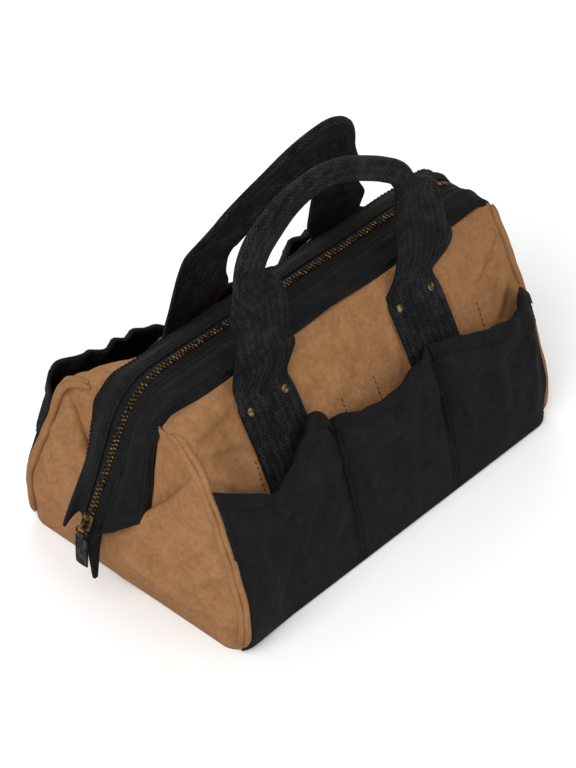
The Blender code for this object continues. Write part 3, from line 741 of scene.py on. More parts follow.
@dataclass
class Finishes:
    """Every finish on the bag, made once."""

    made: dict[str, Material] = field(init=False)

    KINDS = (
        Cloth("tan_canvas", (0.225, 0.104, 0.040), (0.420, 0.214, 0.096), Weave.TWILL, 0.00120, 0.00040,
              mottle=0.16, worn=0.30),
        Cloth("tan_piping", (0.215, 0.100, 0.040), (0.380, 0.196, 0.090), Weave.TWILL, 0.00120, 0.00036,
              mottle=0.18, worn=0.30),
        Cloth("tan_inner", (0.200, 0.098, 0.042), (0.300, 0.158, 0.074), Weave.PLAIN, 0.00130, 0.00020,
              mottle=0.20),
        Cloth("black_canvas", (0.0022, 0.0023, 0.0024), (0.0150, 0.0151, 0.0155), Weave.PLAIN, 0.00130,
              0.00034, mottle=0.30, worn=0.25),
        Cloth("black_band", (0.0018, 0.0020, 0.0021), (0.0150, 0.0153, 0.0156), Weave.PLAIN, 0.00150,
              0.00040, roughness=0.88, worn=0.20),
        Cloth("black_webbing", (0.0010, 0.0011, 0.0012), (0.0300, 0.0315, 0.0305), Weave.WEBBING, 0.00270,
              0.00085, roughness=0.80, mottle=0.18, worn=0.30, contrast=(0.60, 1.05)),
        Cloth("black_tape", (0.0024, 0.0025, 0.0028), (0.0090, 0.0092, 0.0098), Weave.TWILL, 0.00100,
              0.00025, roughness=0.80, mottle=0.20),
        Cloth("ribbed_binding", (0.0022, 0.0022, 0.0024), (0.0085, 0.0086, 0.0090), Weave.RIBBED, 0.00150,
              0.00050, roughness=0.78, mottle=0.20),
        Cloth("grey_lining", (0.030, 0.028, 0.026), (0.060, 0.056, 0.052), Weave.PLAIN, 0.00090, 0.00018,
              roughness=0.85, mottle=0.20),
        Metal("antique_brass", (0.040, 0.025, 0.012), (0.300, 0.200, 0.088)),
        Metal("dark_brass", (0.016, 0.010, 0.005), (0.170, 0.108, 0.046)),
        Metal("gunmetal", (0.008, 0.008, 0.009), (0.045, 0.045, 0.048), roughness=0.42),
        Metal("spring_steel", (0.30, 0.31, 0.33), (0.50, 0.51, 0.53), roughness=0.32),
        Board(),
        Thread("black_thread", (0.0022, 0.0022, 0.0025)),
        Thread("tan_thread", (0.30, 0.155, 0.068)),
    )

    def __post_init__(self) -> None:
        """Makes the materials."""
        self.made = {kind.name: kind.make() for kind in self.KINDS}

    def of(self, *names: str) -> list[Material]:
        """Finishes by their names."""
        return [self.made[name] for name in names]


# Copies along a path


@dataclass
class Repeater:
    """A Geometry Nodes tree that sets one small body along a path at an even pitch."""

    tree: bpy.types.GeometryNodeTree | None = None
    sockets: dict[str, str] = field(default_factory=dict)

    INPUTS = {"Path": "Geometry", "Body": "Object", "Pitch": "Float", "Unevenness": "Float", "Seed": "Int",
              "Finish": "Material"}
    NODES = {
        "start": ("NodeGroupInput", {}),
        "curve": ("GeometryNodeMeshToCurve", {}),
        "even": ("GeometryNodeResampleCurve", {"mode": "LENGTH"}),
        "tangent": ("GeometryNodeInputTangent", {}),
        "facing": ("GeometryNodeInputNamedAttribute", {"data_type": "FLOAT_VECTOR"}),
        "lie": ("FunctionNodeAlignRotationToVector", {"axis": "X"}),
        "lift": ("FunctionNodeAlignRotationToVector", {"axis": "Z", "pivot_axis": "X"}),
        "body": ("GeometryNodeObjectInfo", {}),
        "least": ("ShaderNodeMath", {"operation": "SUBTRACT"}),
        "chance": ("FunctionNodeRandomValue", {"data_type": "FLOAT"}),
        "copies": ("GeometryNodeInstanceOnPoints", {}),
        "real": ("GeometryNodeRealizeInstances", {}),
        "dress": ("GeometryNodeSetMaterial", {}),
        "end": ("NodeGroupOutput", {}),
    }
    VALUES = (("facing", "Name", "facing"), ("least", 0, 1.0), ("chance", "Max", 1.0))
    LINKS = (
        ("start", "Path", "curve", "Mesh"), ("curve", "Curve", "even", "Curve"),
        ("start", "Pitch", "even", "Length"), ("tangent", "Tangent", "lie", "Vector"),
        ("lie", "Rotation", "lift", "Rotation"), ("facing", "Attribute", "lift", "Vector"),
        ("start", "Body", "body", "Object"), ("start", "Unevenness", "least", 1),
        ("least", 0, "chance", "Min"), ("start", "Seed", "chance", "Seed"),
        ("even", "Curve", "copies", "Points"), ("body", "Geometry", "copies", "Instance"),
        ("lift", "Rotation", "copies", "Rotation"), ("chance", "Value", "copies", "Scale"),
        ("copies", "Instances", "real", "Geometry"), ("real", "Geometry", "dress", "Geometry"),
        ("start", "Finish", "dress", "Material"), ("dress", "Geometry", "end", "Geometry"),
    )

    def build(self) -> None:
        """Builds the tree: resample, set the copies, turn them to the path and its facing, make them real."""
        self.tree = bpy.data.node_groups.new("copies_along_path", "GeometryNodeTree")
        declare = self.tree.interface.new_socket
        for name, kind in self.INPUTS.items():
            socket = declare(name=name, in_out="INPUT", socket_type=f"NodeSocket{kind}")
            self.sockets[name] = socket.identifier
        declare(name="Geometry", in_out="OUTPUT", socket_type="NodeSocketGeometry")
        nodes = {}
        for word, (kind, settings) in self.NODES.items():
            nodes[word] = self.tree.nodes.new(kind)
            for key, value in settings.items():
                setattr(nodes[word], key, value)
        for word, key, value in self.VALUES:
            nodes[word].inputs[key].default_value = value
        for first, output, second, key in self.LINKS:
            self.tree.links.new(nodes[first].outputs[output], nodes[second].inputs[key])

    def run(self, name: str, paths: Sequence[tuple[Array, Array]], body: Mesh, pitch: float, finish: Material,
            unevenness: float, seed: int) -> Mesh:
        """Sets the body along the paths.

        Args:
            name: Name of the mesh made.
            paths: Pairs of points and the directions that the copies' tops face.
            body: The mesh to copy, along X with its top to +Z.
            pitch: Distance between copies.
            finish: Material of the copies.
            unevenness: Largest share by which a copy is smaller.
            seed: Picks the unevenness.

        Returns:
            One plain mesh.
        """
        if self.tree is None:
            self.build()
        points = np.concatenate([path for path, _ in paths])
        tops = np.concatenate([np.broadcast_to(top, path.shape) for path, top in paths])
        edges, start = [], 0
        for path, _ in paths:
            edges += [(start + step, start + step + 1) for step in range(len(path) - 1)]
            start += len(path)
        mesh = bpy.data.meshes.new(name)
        mesh.from_pydata(points.tolist(), edges, [])
        facing = mesh.attributes.new("facing", "FLOAT_VECTOR", "POINT")
        facing.data.foreach_set("vector", tops.astype(np.float32).ravel())
        carrier = bpy.data.objects.new(name + "_path", mesh)
        sample = bpy.data.objects.new(name + "_body", body)
        bpy.context.scene.collection.objects.link(carrier)
        modifier = carrier.modifiers.new("Copies", "NODES")
        modifier.node_group = self.tree
        inputs = {"Body": sample, "Pitch": pitch, "Unevenness": unevenness, "Seed": seed, "Finish": finish}
        for key, value in inputs.items():
            modifier[self.sockets[key]] = value
        bpy.context.view_layer.update()
        graph = bpy.context.evaluated_depsgraph_get()
        made = bpy.data.meshes.new_from_object(carrier.evaluated_get(graph), depsgraph=graph)
        bpy.data.objects.remove(carrier, do_unlink=True)
        bpy.data.objects.remove(sample, do_unlink=True)
        made.name = name
        made.shade_smooth()
        return made


# The bag's shared shape


@dataclass(frozen=True)
class BagShape:
    """Sizes and rules that the pieces share."""

    half_length: float = 0.1525
    half_width: float = 0.0915
    seam_height: float = 0.1446
    seam_half: float = 0.0246
    bulge: float = 0.010
    shoulder: float = 0.0258
    shoulder_start: float = -0.098
    tight_start: float = 0.098
    tight_loss: float = 0.35
    level_share: float = 0.93
    canvas: float = 0.0024
    back_shoulder: tuple = ((0, 0), (0.010, 0.001), (0.017, 0.003), (0.024, 0.006), (0.039, 0.0125),
                            (0.066, 0.0146), (0.095, 0.016), (0.125, 0.020), (0.140, 0.018), (0.150, 0.010),
                            (0.1593, 0.004))
    corner_rounds: tuple = ((0.012, 0.018), (0.018, 0.014))
    corner_height: float = 0.034
    beak_reach: float = 0.1888
    beak_height: float = 0.0678
    ridge_corner: tuple = (0.1454, 0.1556, 0.045)
    hem_foot: Pair = (0.1614, 0.079)
    hem_corner: tuple = (0.1529, 0.1446, 0.016)
    run_steps: int = 26
    corner_steps: int = 14
    top_steps: int = 90

    @property
    def slope(self) -> float:
        """Length of a wall from the base to the seam."""
        return math.hypot(self.seam_height, self.half_width - self.seam_half)

    @property
    def lean(self) -> float:
        """A wall's lean from upright."""
        return math.atan2(self.half_width - self.seam_half, self.seam_height)

    def stand(self, side: Side, along: Number, up: Number) -> Array:
        """How far a wall stands out of the flat.

        Args:
            side: Which wall.
            along: Place along the bag.
            up: Place up the slope.

        Returns:
            The distance, more at the slack left end and less at the tight right one.
        """
        share = np.clip(np.asarray(up, float) / self.slope, 0, 1)
        even = 4 * self.bulge * share * (1 - share)
        if side is Side.FRONT:
            round_part = np.clip(1 - np.abs((share - 0.52) / 0.52) ** 3.2, 0, 1) ** 0.625
            sagged = self.shoulder * round_part * (0.86 + 0.14 * np.minimum(share / 0.6, 1))
        else:
            knots = np.array(self.back_shoulder)
            fine = np.linspace(-0.02, self.slope + 0.02, 400)
            line = softened(np.interp(fine, knots[:, 0], knots[:, 1]), 15, "same")
            sagged = np.interp(share * self.slope, fine, line)
        sagged = lerp(sagged, even, smooth((share - self.level_share) / (1 - self.level_share)))
        left = smooth((self.shoulder_start - along) / (self.half_length + self.shoulder_start))
        right = smooth((along - self.tight_start) / (self.half_length - self.tight_start))
        return even + left * (sagged - even) - right * self.tight_loss * even

    def wall(self, side: Side, along: Number, up: Number, out: Number = 0.0) -> Array:
        """Points of a wall.

        Args:
            side: Which wall.
            along: Place along the bag.
            up: Place up the slope.
            out: Distance out of the wall's face.

        Returns:
            The points.
        """
        away = self.stand(side, along, up) + out
        spread = self.half_width - up * math.sin(self.lean) + away * math.cos(self.lean)
        height = up * math.cos(self.lean) + away * math.sin(self.lean)
        return stack(along, side.value * spread, height)

    def settle(self, points: Array) -> Array:
        """Rounds the bag's bottom corners, each by its own radius.

        Args:
            points: Any points near the corners, on the walls, the ends or the base.

        Returns:
            The points, drawn in near a corner and less so higher up.
        """
        points = np.array(points, float)
        for side in Side:
            for end in End:
                radius = self.corner_rounds[(side.value + 1) // 2][(end.value + 1) // 2]
                dx = np.maximum(points[..., 0] * end.value - (self.half_length - radius), 0)
                dy = np.maximum(points[..., 1] * side.value - (self.half_width - radius), 0)
                reach = np.maximum(np.hypot(dx, dy), 1e-9)
                scale = np.where((dx > 0) & (dy > 0), np.maximum(dx, dy) / reach, 1.0)
                drawn = lerp(scale, 1, smooth(points[..., 2] / self.corner_height)) - 1
                points[..., 0] += end.value * dx * drawn
                points[..., 1] += side.value * dy * drawn
        return points

    def wall_normal(self, side: Side) -> Array:
        """The direction a wall's flat faces."""
        return np.array([0.0, side.value * math.cos(self.lean), math.sin(self.lean)])

    def edge(self, side: Side, end: End, heights: Array, inward: float) -> Array:
        """The bag's half width at one end.

        Args:
            side: Which side of the end.
            end: Which end.
            heights: Heights above the floor.
            inward: How far to stay inside the wall's face.

        Returns:
            The half width at each height.
        """
        ups = np.linspace(0, self.slope * 1.01, 200)
        line = self.wall(side, end.value * self.half_length, ups, -inward)
        return np.interp(heights, np.maximum.accumulate(line[:, 2]), np.abs(line[:, 1]))

    def mouth_path(self, foot: Pair, corner: tuple) -> Array:
        """A path over the mouth, from the left foot to the right one.

        Args:
            foot: Reach and height of its two feet.
            corner: Reach, height and radius of its two corners.

        Returns:
            Its places in x and z.
        """
        reach, height, radius = corner
        start, turn, end = np.array([[-foot[0], foot[1]], [-reach, height], [0.0, height]])
        into, away = unit(turn - start), unit(end - turn)
        angle = math.acos(float(into @ away))
        first = turn - into * radius * math.tan(angle / 2)
        hub = first + np.array([into[1], -into[0]]) * radius
        arm = first - hub
        bends = -angle * np.arange(self.corner_steps + 1) / self.corner_steps
        arc = hub + stack(np.cos(bends) * arm[0] - np.sin(bends) * arm[1],
                          np.sin(bends) * arm[0] + np.cos(bends) * arm[1], 0)[:, :2]
        run = start + (arc[0] - start) * (np.arange(self.run_steps) / self.run_steps)[:, None]
        left = np.concatenate([run, arc])
        right = left[::-1] * [-1, 1]
        top = lerp(left[-1], right[0], (np.arange(1, self.top_steps) / self.top_steps)[:, None])
        return np.concatenate([left, top, right])

    @property
    def ridge(self) -> Array:
        """The zip's line in x and z."""
        return self.mouth_path((self.beak_reach, self.beak_height), self.ridge_corner)

    @property
    def hem(self) -> Array:
        """The band's outer edge in x and z."""
        return self.mouth_path(self.hem_foot, self.hem_corner)

    def band(self, side: Side, across: Array, lift: Number = 0.0) -> Array:
        """Points of a mouth band.

        Args:
            side: Which half.
            across: Shares from the ridge to the hem.
            lift: Distance out of the band, one value or one for each point.

        Returns:
            One row for each share, one column for each step of the path.
        """
        ridge, fall = self.ridge[None], (self.hem - self.ridge)[None]
        share = np.asarray(across, float).reshape(-1, 1)
        flat = ridge + fall * share[..., None]
        points = stack(flat[..., 0], side.value * share * self.seam_half, flat[..., 1])
        wide = stack(fall[..., 0], side.value * self.seam_half, fall[..., 1])
        along = np.gradient(points, axis=1)
        normals = unit(np.cross(along, np.broadcast_to(wide, along.shape))) * side.value
        return points + normals * np.asarray(lift, float).reshape(*np.shape(lift), 1)


# Base and walls


@dataclass
class BaseCloth:
    """The black base canvas under the board."""

    shape: BagShape
    finishes: Finishes
    thickness: float = 0.0022
    margin: float = 0.0015
    lift: float = 0.0004
    steps: tuple[int, int] = (90, 56)

    def build(self) -> None:
        """Makes the base."""
        across, along = grid(*self.steps)
        x = (2 * across - 1) * (self.shape.half_length - self.margin)
        y = (2 * along - 1) * (self.shape.half_width - self.margin)
        points = self.shape.settle(stack(x, y, self.lift))
        mesh = cloth_shell("base_cloth", points, (0, 0, -1), self.thickness)
        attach(add_piece("base_cloth", mesh, self.finishes.of("black_canvas", "black_canvas"),
                          ["base_panel"]), "base")


@dataclass
class WallCloth:
    """One tan long wall, with its folds and its piping."""

    shape: BagShape
    finishes: Finishes
    side: Side
    steps: tuple[int, int] = (220, 110)
    margin: float = 0.0006
    foot: float = 0.0014
    tuck: float = 0.006
    dip: float = 0.0012
    seam_gap: float = 0.0028
    hem_gap: float = 0.0010
    corner_run: Pair = (0.012, 0.011)
    piping: float = 0.0020
    piping_ends: Pair = (0.0056, 0.0060)
    piping_steps: int = 90
    cords: tuple = ((-0.0008, 0.0006, 1.05), (0.0014, -0.0022, 1.15))
    creases: tuple[Fold, ...] = (
        (-0.150, 0.128, -0.112, 0.092, 0.0042, 0.0030), (-0.149, 0.140, -0.098, 0.118, 0.0036, 0.0026),
        (-0.148, 0.112, -0.126, 0.084, 0.0046, 0.0026), (-0.148, 0.146, -0.100, 0.143, 0.0030, 0.0018),
        (-0.044, 0.148, -0.030, 0.086, 0.0050, 0.0022), (-0.024, 0.150, -0.010, 0.112, 0.0038, 0.0016),
        (0.006, 0.150, 0.002, 0.100, 0.0044, 0.0014), (0.042, 0.148, 0.030, 0.096, 0.0048, 0.0020),
        (0.104, 0.148, 0.128, 0.104, 0.0044, 0.0024), (0.148, 0.140, 0.112, 0.120, 0.0036, 0.0020),
        (0.146, 0.110, 0.120, 0.088, 0.0042, 0.0018), (-0.110, 0.146, -0.102, 0.094, 0.0040, 0.0016),
    )

    @property
    def body(self) -> str:
        """The body that the wall rides on."""
        return f"{self.side.word}_wall"

    def folds(self, along: Array, up: Array) -> Array:
        """The wall's soft waves and creases.

        Args:
            along: Place along the bag.
            up: Place up the slope.

        Returns:
            Their height at each place.
        """
        free = smooth(up / 0.02) * (1 - smooth((up - (self.shape.slope - 0.014)) / 0.012))
        seed = 10 if self.side is Side.FRONT else 20
        height = 0.0010 * waves(along, up, 0.055, seed) + 0.00045 * waves(along, up, 0.020, seed + 1)
        hollows = [(u0, v0 - 1.5 * width, u1, v1 - 1.5 * width, width, -0.6 * tall)
                   for u0, v0, u1, v1, width, tall in self.creases]
        return (height + folded(along, up, self.creases) + folded(along, up, hollows)) * free

    def surface(self, along: Array, up: Array, out: Number = 0.0) -> Array:
        """Points on the folded wall."""
        return self.shape.wall(self.side, along, up, self.folds(along, up) + out)

    def build(self) -> None:
        """Makes the wall cloth, its top edge tucked in under the band, and its piping."""
        shape, side = self.shape, self.side
        across, share = grid(*self.steps)
        along = (2 * across - 1) * (shape.half_length - self.margin)
        order = np.argsort(shape.hem[:, 0])
        hem = np.interp(along, shape.hem[order, 0], shape.hem[order, 1]) / math.cos(shape.lean)
        start, run = self.corner_run
        corner = smooth((np.abs(along) - shape.half_length + start) / run)
        top = np.minimum(shape.slope - self.seam_gap, hem + self.hem_gap) - self.dip * corner
        up = self.foot + (top + self.tuck - self.foot) * share
        over = np.maximum(up - top, 0)
        points = shape.settle(self.surface(along, np.minimum(up, top)))
        points = points + over[..., None] * stack(0, -side.value * 0.93, 0.36 - 0.60 * corner)
        points[..., 2] -= self.dip * smooth(over / 0.002)
        name = f"{side.word}_wall_cloth"
        mesh = cloth_shell(name, points, shape.wall_normal(side), shape.canvas * 0.8,
                           np.stack([along, up], axis=-1))
        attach(add_piece(name, mesh, self.finishes.of("tan_canvas", "tan_inner"),
                          [f"{side.word}_panel"]), self.body)
        for end in End:
            self.build_piping(end)

    def piping_path(self, end: End, shift: float, out: float) -> Array:
        """The line of a piping cord beside the wall's upright edge.

        Args:
            end: Which edge.
            shift: Distance past the edge.
            out: Distance out of the wall's face.

        Returns:
            Its points.
        """
        low, high = self.piping_ends
        ups = np.linspace(low, self.shape.slope - high, self.piping_steps)
        wobble = 0.0004 * np.sin(ups * 210 + shift * 900)
        line = self.shape.wall(self.side, end.value * (self.shape.half_length + shift) + wobble, ups, out)
        return self.shape.settle(line)

    def build_piping(self, end: End) -> None:
        """Makes the double piping along one edge.

        Args:
            end: Which edge.
        """
        steps = np.arange(self.piping_steps)
        from_end = np.minimum(steps + 0.6, self.piping_steps - 0.4 - steps)
        radius = self.piping * np.sqrt(np.clip(from_end / 4, 0, 1))
        tubes = [round_tube("cord", self.piping_path(end, shift, out), radius * size)
                 for shift, out, size in self.cords]
        name = f"{self.side.word}_{end.word}_piping"
        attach(add_piece(name, joined(name, tubes), self.finishes.of("tan_piping"),
                          [f"{self.side.word}_{end.word}_welt"]), self.body)


# Outer pockets


@dataclass
class OuterPockets:
    """The three black pockets of one long wall, with their ribbed binding."""

    shape: BagShape
    finishes: Finishes
    side: Side
    seams: tuple = (-0.1522, -0.0400, 0.0525, 0.1522)
    depth: float = 0.012
    gaping_depth: float = 0.018
    thickness: float = 0.0014
    foot: float = 0.0008
    seam_half_gap: float = 0.0003
    wall_gap: float = 0.0004
    strap_lift: float = 0.0022
    strap_foot: Pair = (0.0686, 0.0036)
    gather: float = 0.0013
    gather_pitch: float = 0.021
    steps_up: int = 56
    pitch: float = 0.0013
    binding_share: float = 0.075
    binding_stand: float = 0.0011
    binding_thickness: float = 0.0004
    rib: float = 0.00022
    front_tops: tuple = (
        (-0.1522, 0.1150), (-0.138, 0.1070), (-0.124, 0.0990), (-0.112, 0.0912), (-0.099, 0.0900),
        (-0.087, 0.0980), (-0.071, 0.1063), (-0.061, 0.1165), (-0.054, 0.1147), (-0.0475, 0.1110),
        (-0.0400, 0.0990), (-0.0399, 0.1015), (-0.033, 0.1028), (-0.021, 0.0988), (-0.005, 0.0978),
        (0.009, 0.0976), (0.021, 0.1015), (0.031, 0.1035), (0.0524, 0.1048), (0.0526, 0.1040),
        (0.069, 0.1025), (0.082, 0.0981), (0.096, 0.0938), (0.109, 0.0915), (0.121, 0.0902),
        (0.130, 0.0908), (0.134, 0.1000), (0.140, 0.1015), (0.1522, 0.0900),
    )
    back_tops: tuple = (
        (-0.1522, 0.112), (-0.142, 0.118), (-0.132, 0.114), (-0.120, 0.119), (-0.108, 0.114),
        (-0.094, 0.115), (-0.078, 0.107), (-0.060, 0.101), (-0.0400, 0.098), (-0.0399, 0.098),
        (-0.018, 0.0950), (0.002, 0.0990), (0.022, 0.0930), (0.044, 0.0980), (0.0524, 0.1010),
        (0.0526, 0.0980), (0.080, 0.1010), (0.100, 0.0940), (0.122, 0.0990), (0.1522, 0.0940),
    )
    front_folds: tuple = (
        ((-0.146, 0.098, -0.120, 0.010, 0.0050, 0.0046), (-0.100, 0.084, -0.090, 0.024, 0.0060, 0.0026),
         (-0.058, 0.112, -0.050, 0.040, 0.0050, 0.0040)),
        ((-0.031, 0.098, -0.025, 0.026, 0.0042, 0.0030), (0.016, 0.092, 0.008, 0.016, 0.0070, 0.0022),
         (0.046, 0.100, 0.040, 0.040, 0.0040, 0.0034)),
        ((0.062, 0.098, 0.068, 0.030, 0.0044, 0.0034), (0.104, 0.086, 0.098, 0.018, 0.0080, 0.0024),
         (0.142, 0.092, 0.132, 0.014, 0.0060, 0.0040)),
    )

    @property
    def body(self) -> str:
        """The body that the pockets ride on."""
        return f"{self.side.word}_wall"

    def top(self, along: Array) -> Array:
        """The wavy upper edge.

        Args:
            along: Place along the bag.

        Returns:
            Its height up the wall at each place.
        """
        knots = np.array(self.front_tops if self.side is Side.FRONT else self.back_tops)
        fine = np.linspace(-0.153, 0.153, 1225)
        total = np.zeros_like(along)
        for first, last in zip(self.seams, self.seams[1:]):
            part = (fine >= first) & (fine <= last)
            line = np.interp(fine[part], knots[:, 0], knots[:, 1])
            soft = softened(np.pad(line, 14, mode="reflect", reflect_type="odd"), 14, "valid")
            inside = (along >= first - 1e-9) & (along <= last + 1e-9)
            total = np.where(inside, np.interp(along, fine[part], soft), total)
        return total

    def folds(self, number: int) -> tuple[Fold, ...]:
        """The fold lines of one pocket.

        Args:
            number: The pocket, from 0 at the left.

        Returns:
            Its folds, one plain fold for each pocket of the back wall.
        """
        if self.side is Side.FRONT:
            return self.front_folds[number]
        first = self.seams[number]
        return ((first + 0.02, 0.098, first + 0.04, 0.02, 0.006, 0.003),)

    def out(self, number: int, across: Array, share: Array, up: Array, along: Array) -> Array:
        """How far a pocket stands out of the wall.

        Args:
            number: The pocket, from 0 at the left.
            across: Share from its left seam to its right one.
            share: Share from its foot to its top.
            up: Place up the wall.
            along: Place along the bag.

        Returns:
            The distance of the outer face.
        """
        wide = 2 * across - 1
        low, run = self.strap_foot
        over_strap = self.strap_lift * smooth((up - low) / run)
        deep, square = (self.gaping_depth, 8) if self.side is Side.BACK and number == 0 else (self.depth, 4)
        full = deep * (1 - wide ** square) * share ** 0.75
        seed = (40 if self.side is Side.FRONT else 60) + number
        held = 1 - wide ** 6
        ripple = 0.0011 * waves(along, up, 0.045, seed) + 0.0006 * waves(along, up, 0.018, seed + 5)
        gather = self.gather * np.sin(along * TAU / self.gather_pitch + seed)
        gather = gather * smooth((share - 0.55) / 0.45) * held
        loose = (ripple + gather) * held * smooth(share / 0.25)
        folds = folded(along, up, self.folds(number)) * held
        return self.thickness + self.wall_gap + over_strap + full + loose + folds

    def surface(self, number: int, across: Array, share: Array, extra: Number = 0.0) -> Array:
        """Points on one pocket.

        Args:
            number: The pocket, from 0 at the left.
            across: Share from its left seam to its right one.
            share: Share from its foot to its top.
            extra: Distance out of the pocket's face.

        Returns:
            The points.
        """
        first = self.seams[number] + self.seam_half_gap
        last = self.seams[number + 1] - self.seam_half_gap
        along = first + (last - first) * across
        up = self.foot + (self.top(along) - self.foot) * share
        out = self.out(number, across, share, up, along) + extra
        return self.shape.settle(self.shape.wall(self.side, along, up, out))

    def build(self) -> None:
        """Makes the pockets and their bindings."""
        for number, place in enumerate(("left", "middle", "right")):
            name = f"{self.side.word}_{place}"
            columns = round((self.seams[number + 1] - self.seams[number]) / self.pitch)
            across, share = grid(columns, self.steps_up)
            mesh = cloth_shell(f"{name}_pocket_cloth", self.surface(number, across, share),
                               self.shape.wall_normal(self.side), self.thickness)
            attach(add_piece(f"{name}_pocket_cloth", mesh, self.finishes.of("black_canvas", "black_canvas"),
                              [f"{name}_pocket"]), self.body)
            self.build_binding(name, number, columns)

    def build_binding(self, name: str, number: int, columns: int) -> None:
        """Makes the ribbed tape folded over one pocket's top edge.

        Args:
            name: The pocket's name.
            number: The pocket, from 0 at the left.
            columns: Steps across the pocket.
        """
        across, turn = grid(columns * 2, 16)
        facing = np.sign(np.cos(turn * math.pi))
        front, behind = self.binding_stand, -self.thickness - self.binding_stand
        drop = np.where(turn < 0.5, 1 - turn / 0.40, (turn - 0.60) / 0.40).clip(0, 1)
        ribs = self.rib * np.sin(across * columns * TAU * 0.36)
        hump = np.clip(1 - np.abs(turn - 0.5) / 0.1, 0, 1)
        stand = np.where(hump > 0, lerp(front, behind, smooth((turn - 0.4) / 0.2)),
                         np.where(facing > 0, front, behind) + ribs * facing)
        share = 1 - drop * self.binding_share + 0.012 * np.sin(hump * math.pi / 2)
        mesh = cloth_shell(f"{name}_binding_tape", self.surface(number, across, share, stand),
                           self.shape.wall_normal(self.side), self.binding_thickness)
        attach(add_piece(f"{name}_binding_tape", mesh, self.finishes.of("ribbed_binding", "ribbed_binding"),
                          [f"{name}_binding"]), self.body)


@dataclass
class InnerPockets:
    """The grey lining pockets on a wall's inner face."""

    shape: BagShape
    finishes: Finishes
    side: Side
    seams: tuple = (-0.135, -0.1015, -0.0225, 0.0075, 0.1075, 0.135)
    foot: float = 0.012
    top: float = 0.098
    depth: float = 0.0125
    thickness: float = 0.0012
    wall_gap: float = 0.0006
    binding_thickness: float = 0.0004
    binding_rise: float = 0.0006
    binding_drop: float = 0.006
    binding_stand: float = 0.0007
    columns: int = 240

    def out(self, along: Array, share: Number) -> Array:
        """How far the pockets stand into the bag.

        Args:
            along: Place along the bag.
            share: Share from their foot to their top.

        Returns:
            The distance, as a negative number.
        """
        total = np.zeros_like(along)
        for first, last in zip(self.seams, self.seams[1:]):
            across = np.clip(2 * (along - first) / (last - first) - 1, -1, 1)
            narrow = min((last - first) / (4 * self.depth), 1)
            inside = (along >= first) & (along <= last)
            total = np.where(inside, self.depth * narrow * (1 - across ** 4) * share ** 0.75, total)
        return -(self.shape.canvas + self.wall_gap + total)

    def build(self) -> None:
        """Makes the pocket row and its bound edge."""
        side, word = self.side, self.side.word
        facing = self.shape.wall_normal(side)
        across, share = grid(self.columns, 34)
        along = lerp(self.seams[0], self.seams[-1], across)
        up = lerp(self.foot, self.top, share)
        ripple = 0.0006 * np.abs(waves(along, up, 0.03, 80 + side.value)) * share
        points = self.shape.wall(side, along, up, self.out(along, share) - ripple)
        mesh = cloth_shell(f"{word}_inner_pocket_cloth", points, facing, self.thickness)
        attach(add_piece(f"{word}_inner_pocket_cloth", mesh, self.finishes.of("grey_lining", "grey_lining"),
                          [f"{word}_inner_pocket"]), f"{word}_wall")
        across, turn = grid(self.columns, 8)
        along = lerp(self.seams[0], self.seams[-1], across)
        fallen = smooth((np.abs(turn - 0.5) * 2 - 0.15) / 0.85)
        up = self.top + self.binding_rise - self.binding_drop * fallen
        front, behind = self.binding_stand, -self.thickness - self.binding_stand
        stand = lerp(front, behind, smooth((turn - 0.3) / 0.4))
        points = self.shape.wall(side, along, up, self.out(along, 1.0) + stand)
        mesh = cloth_shell(f"{word}_inner_binding", points, facing, self.binding_thickness)
        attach(add_piece(f"{word}_inner_binding", mesh, self.finishes.of("ribbed_binding", "ribbed_binding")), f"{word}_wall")


# Mouth


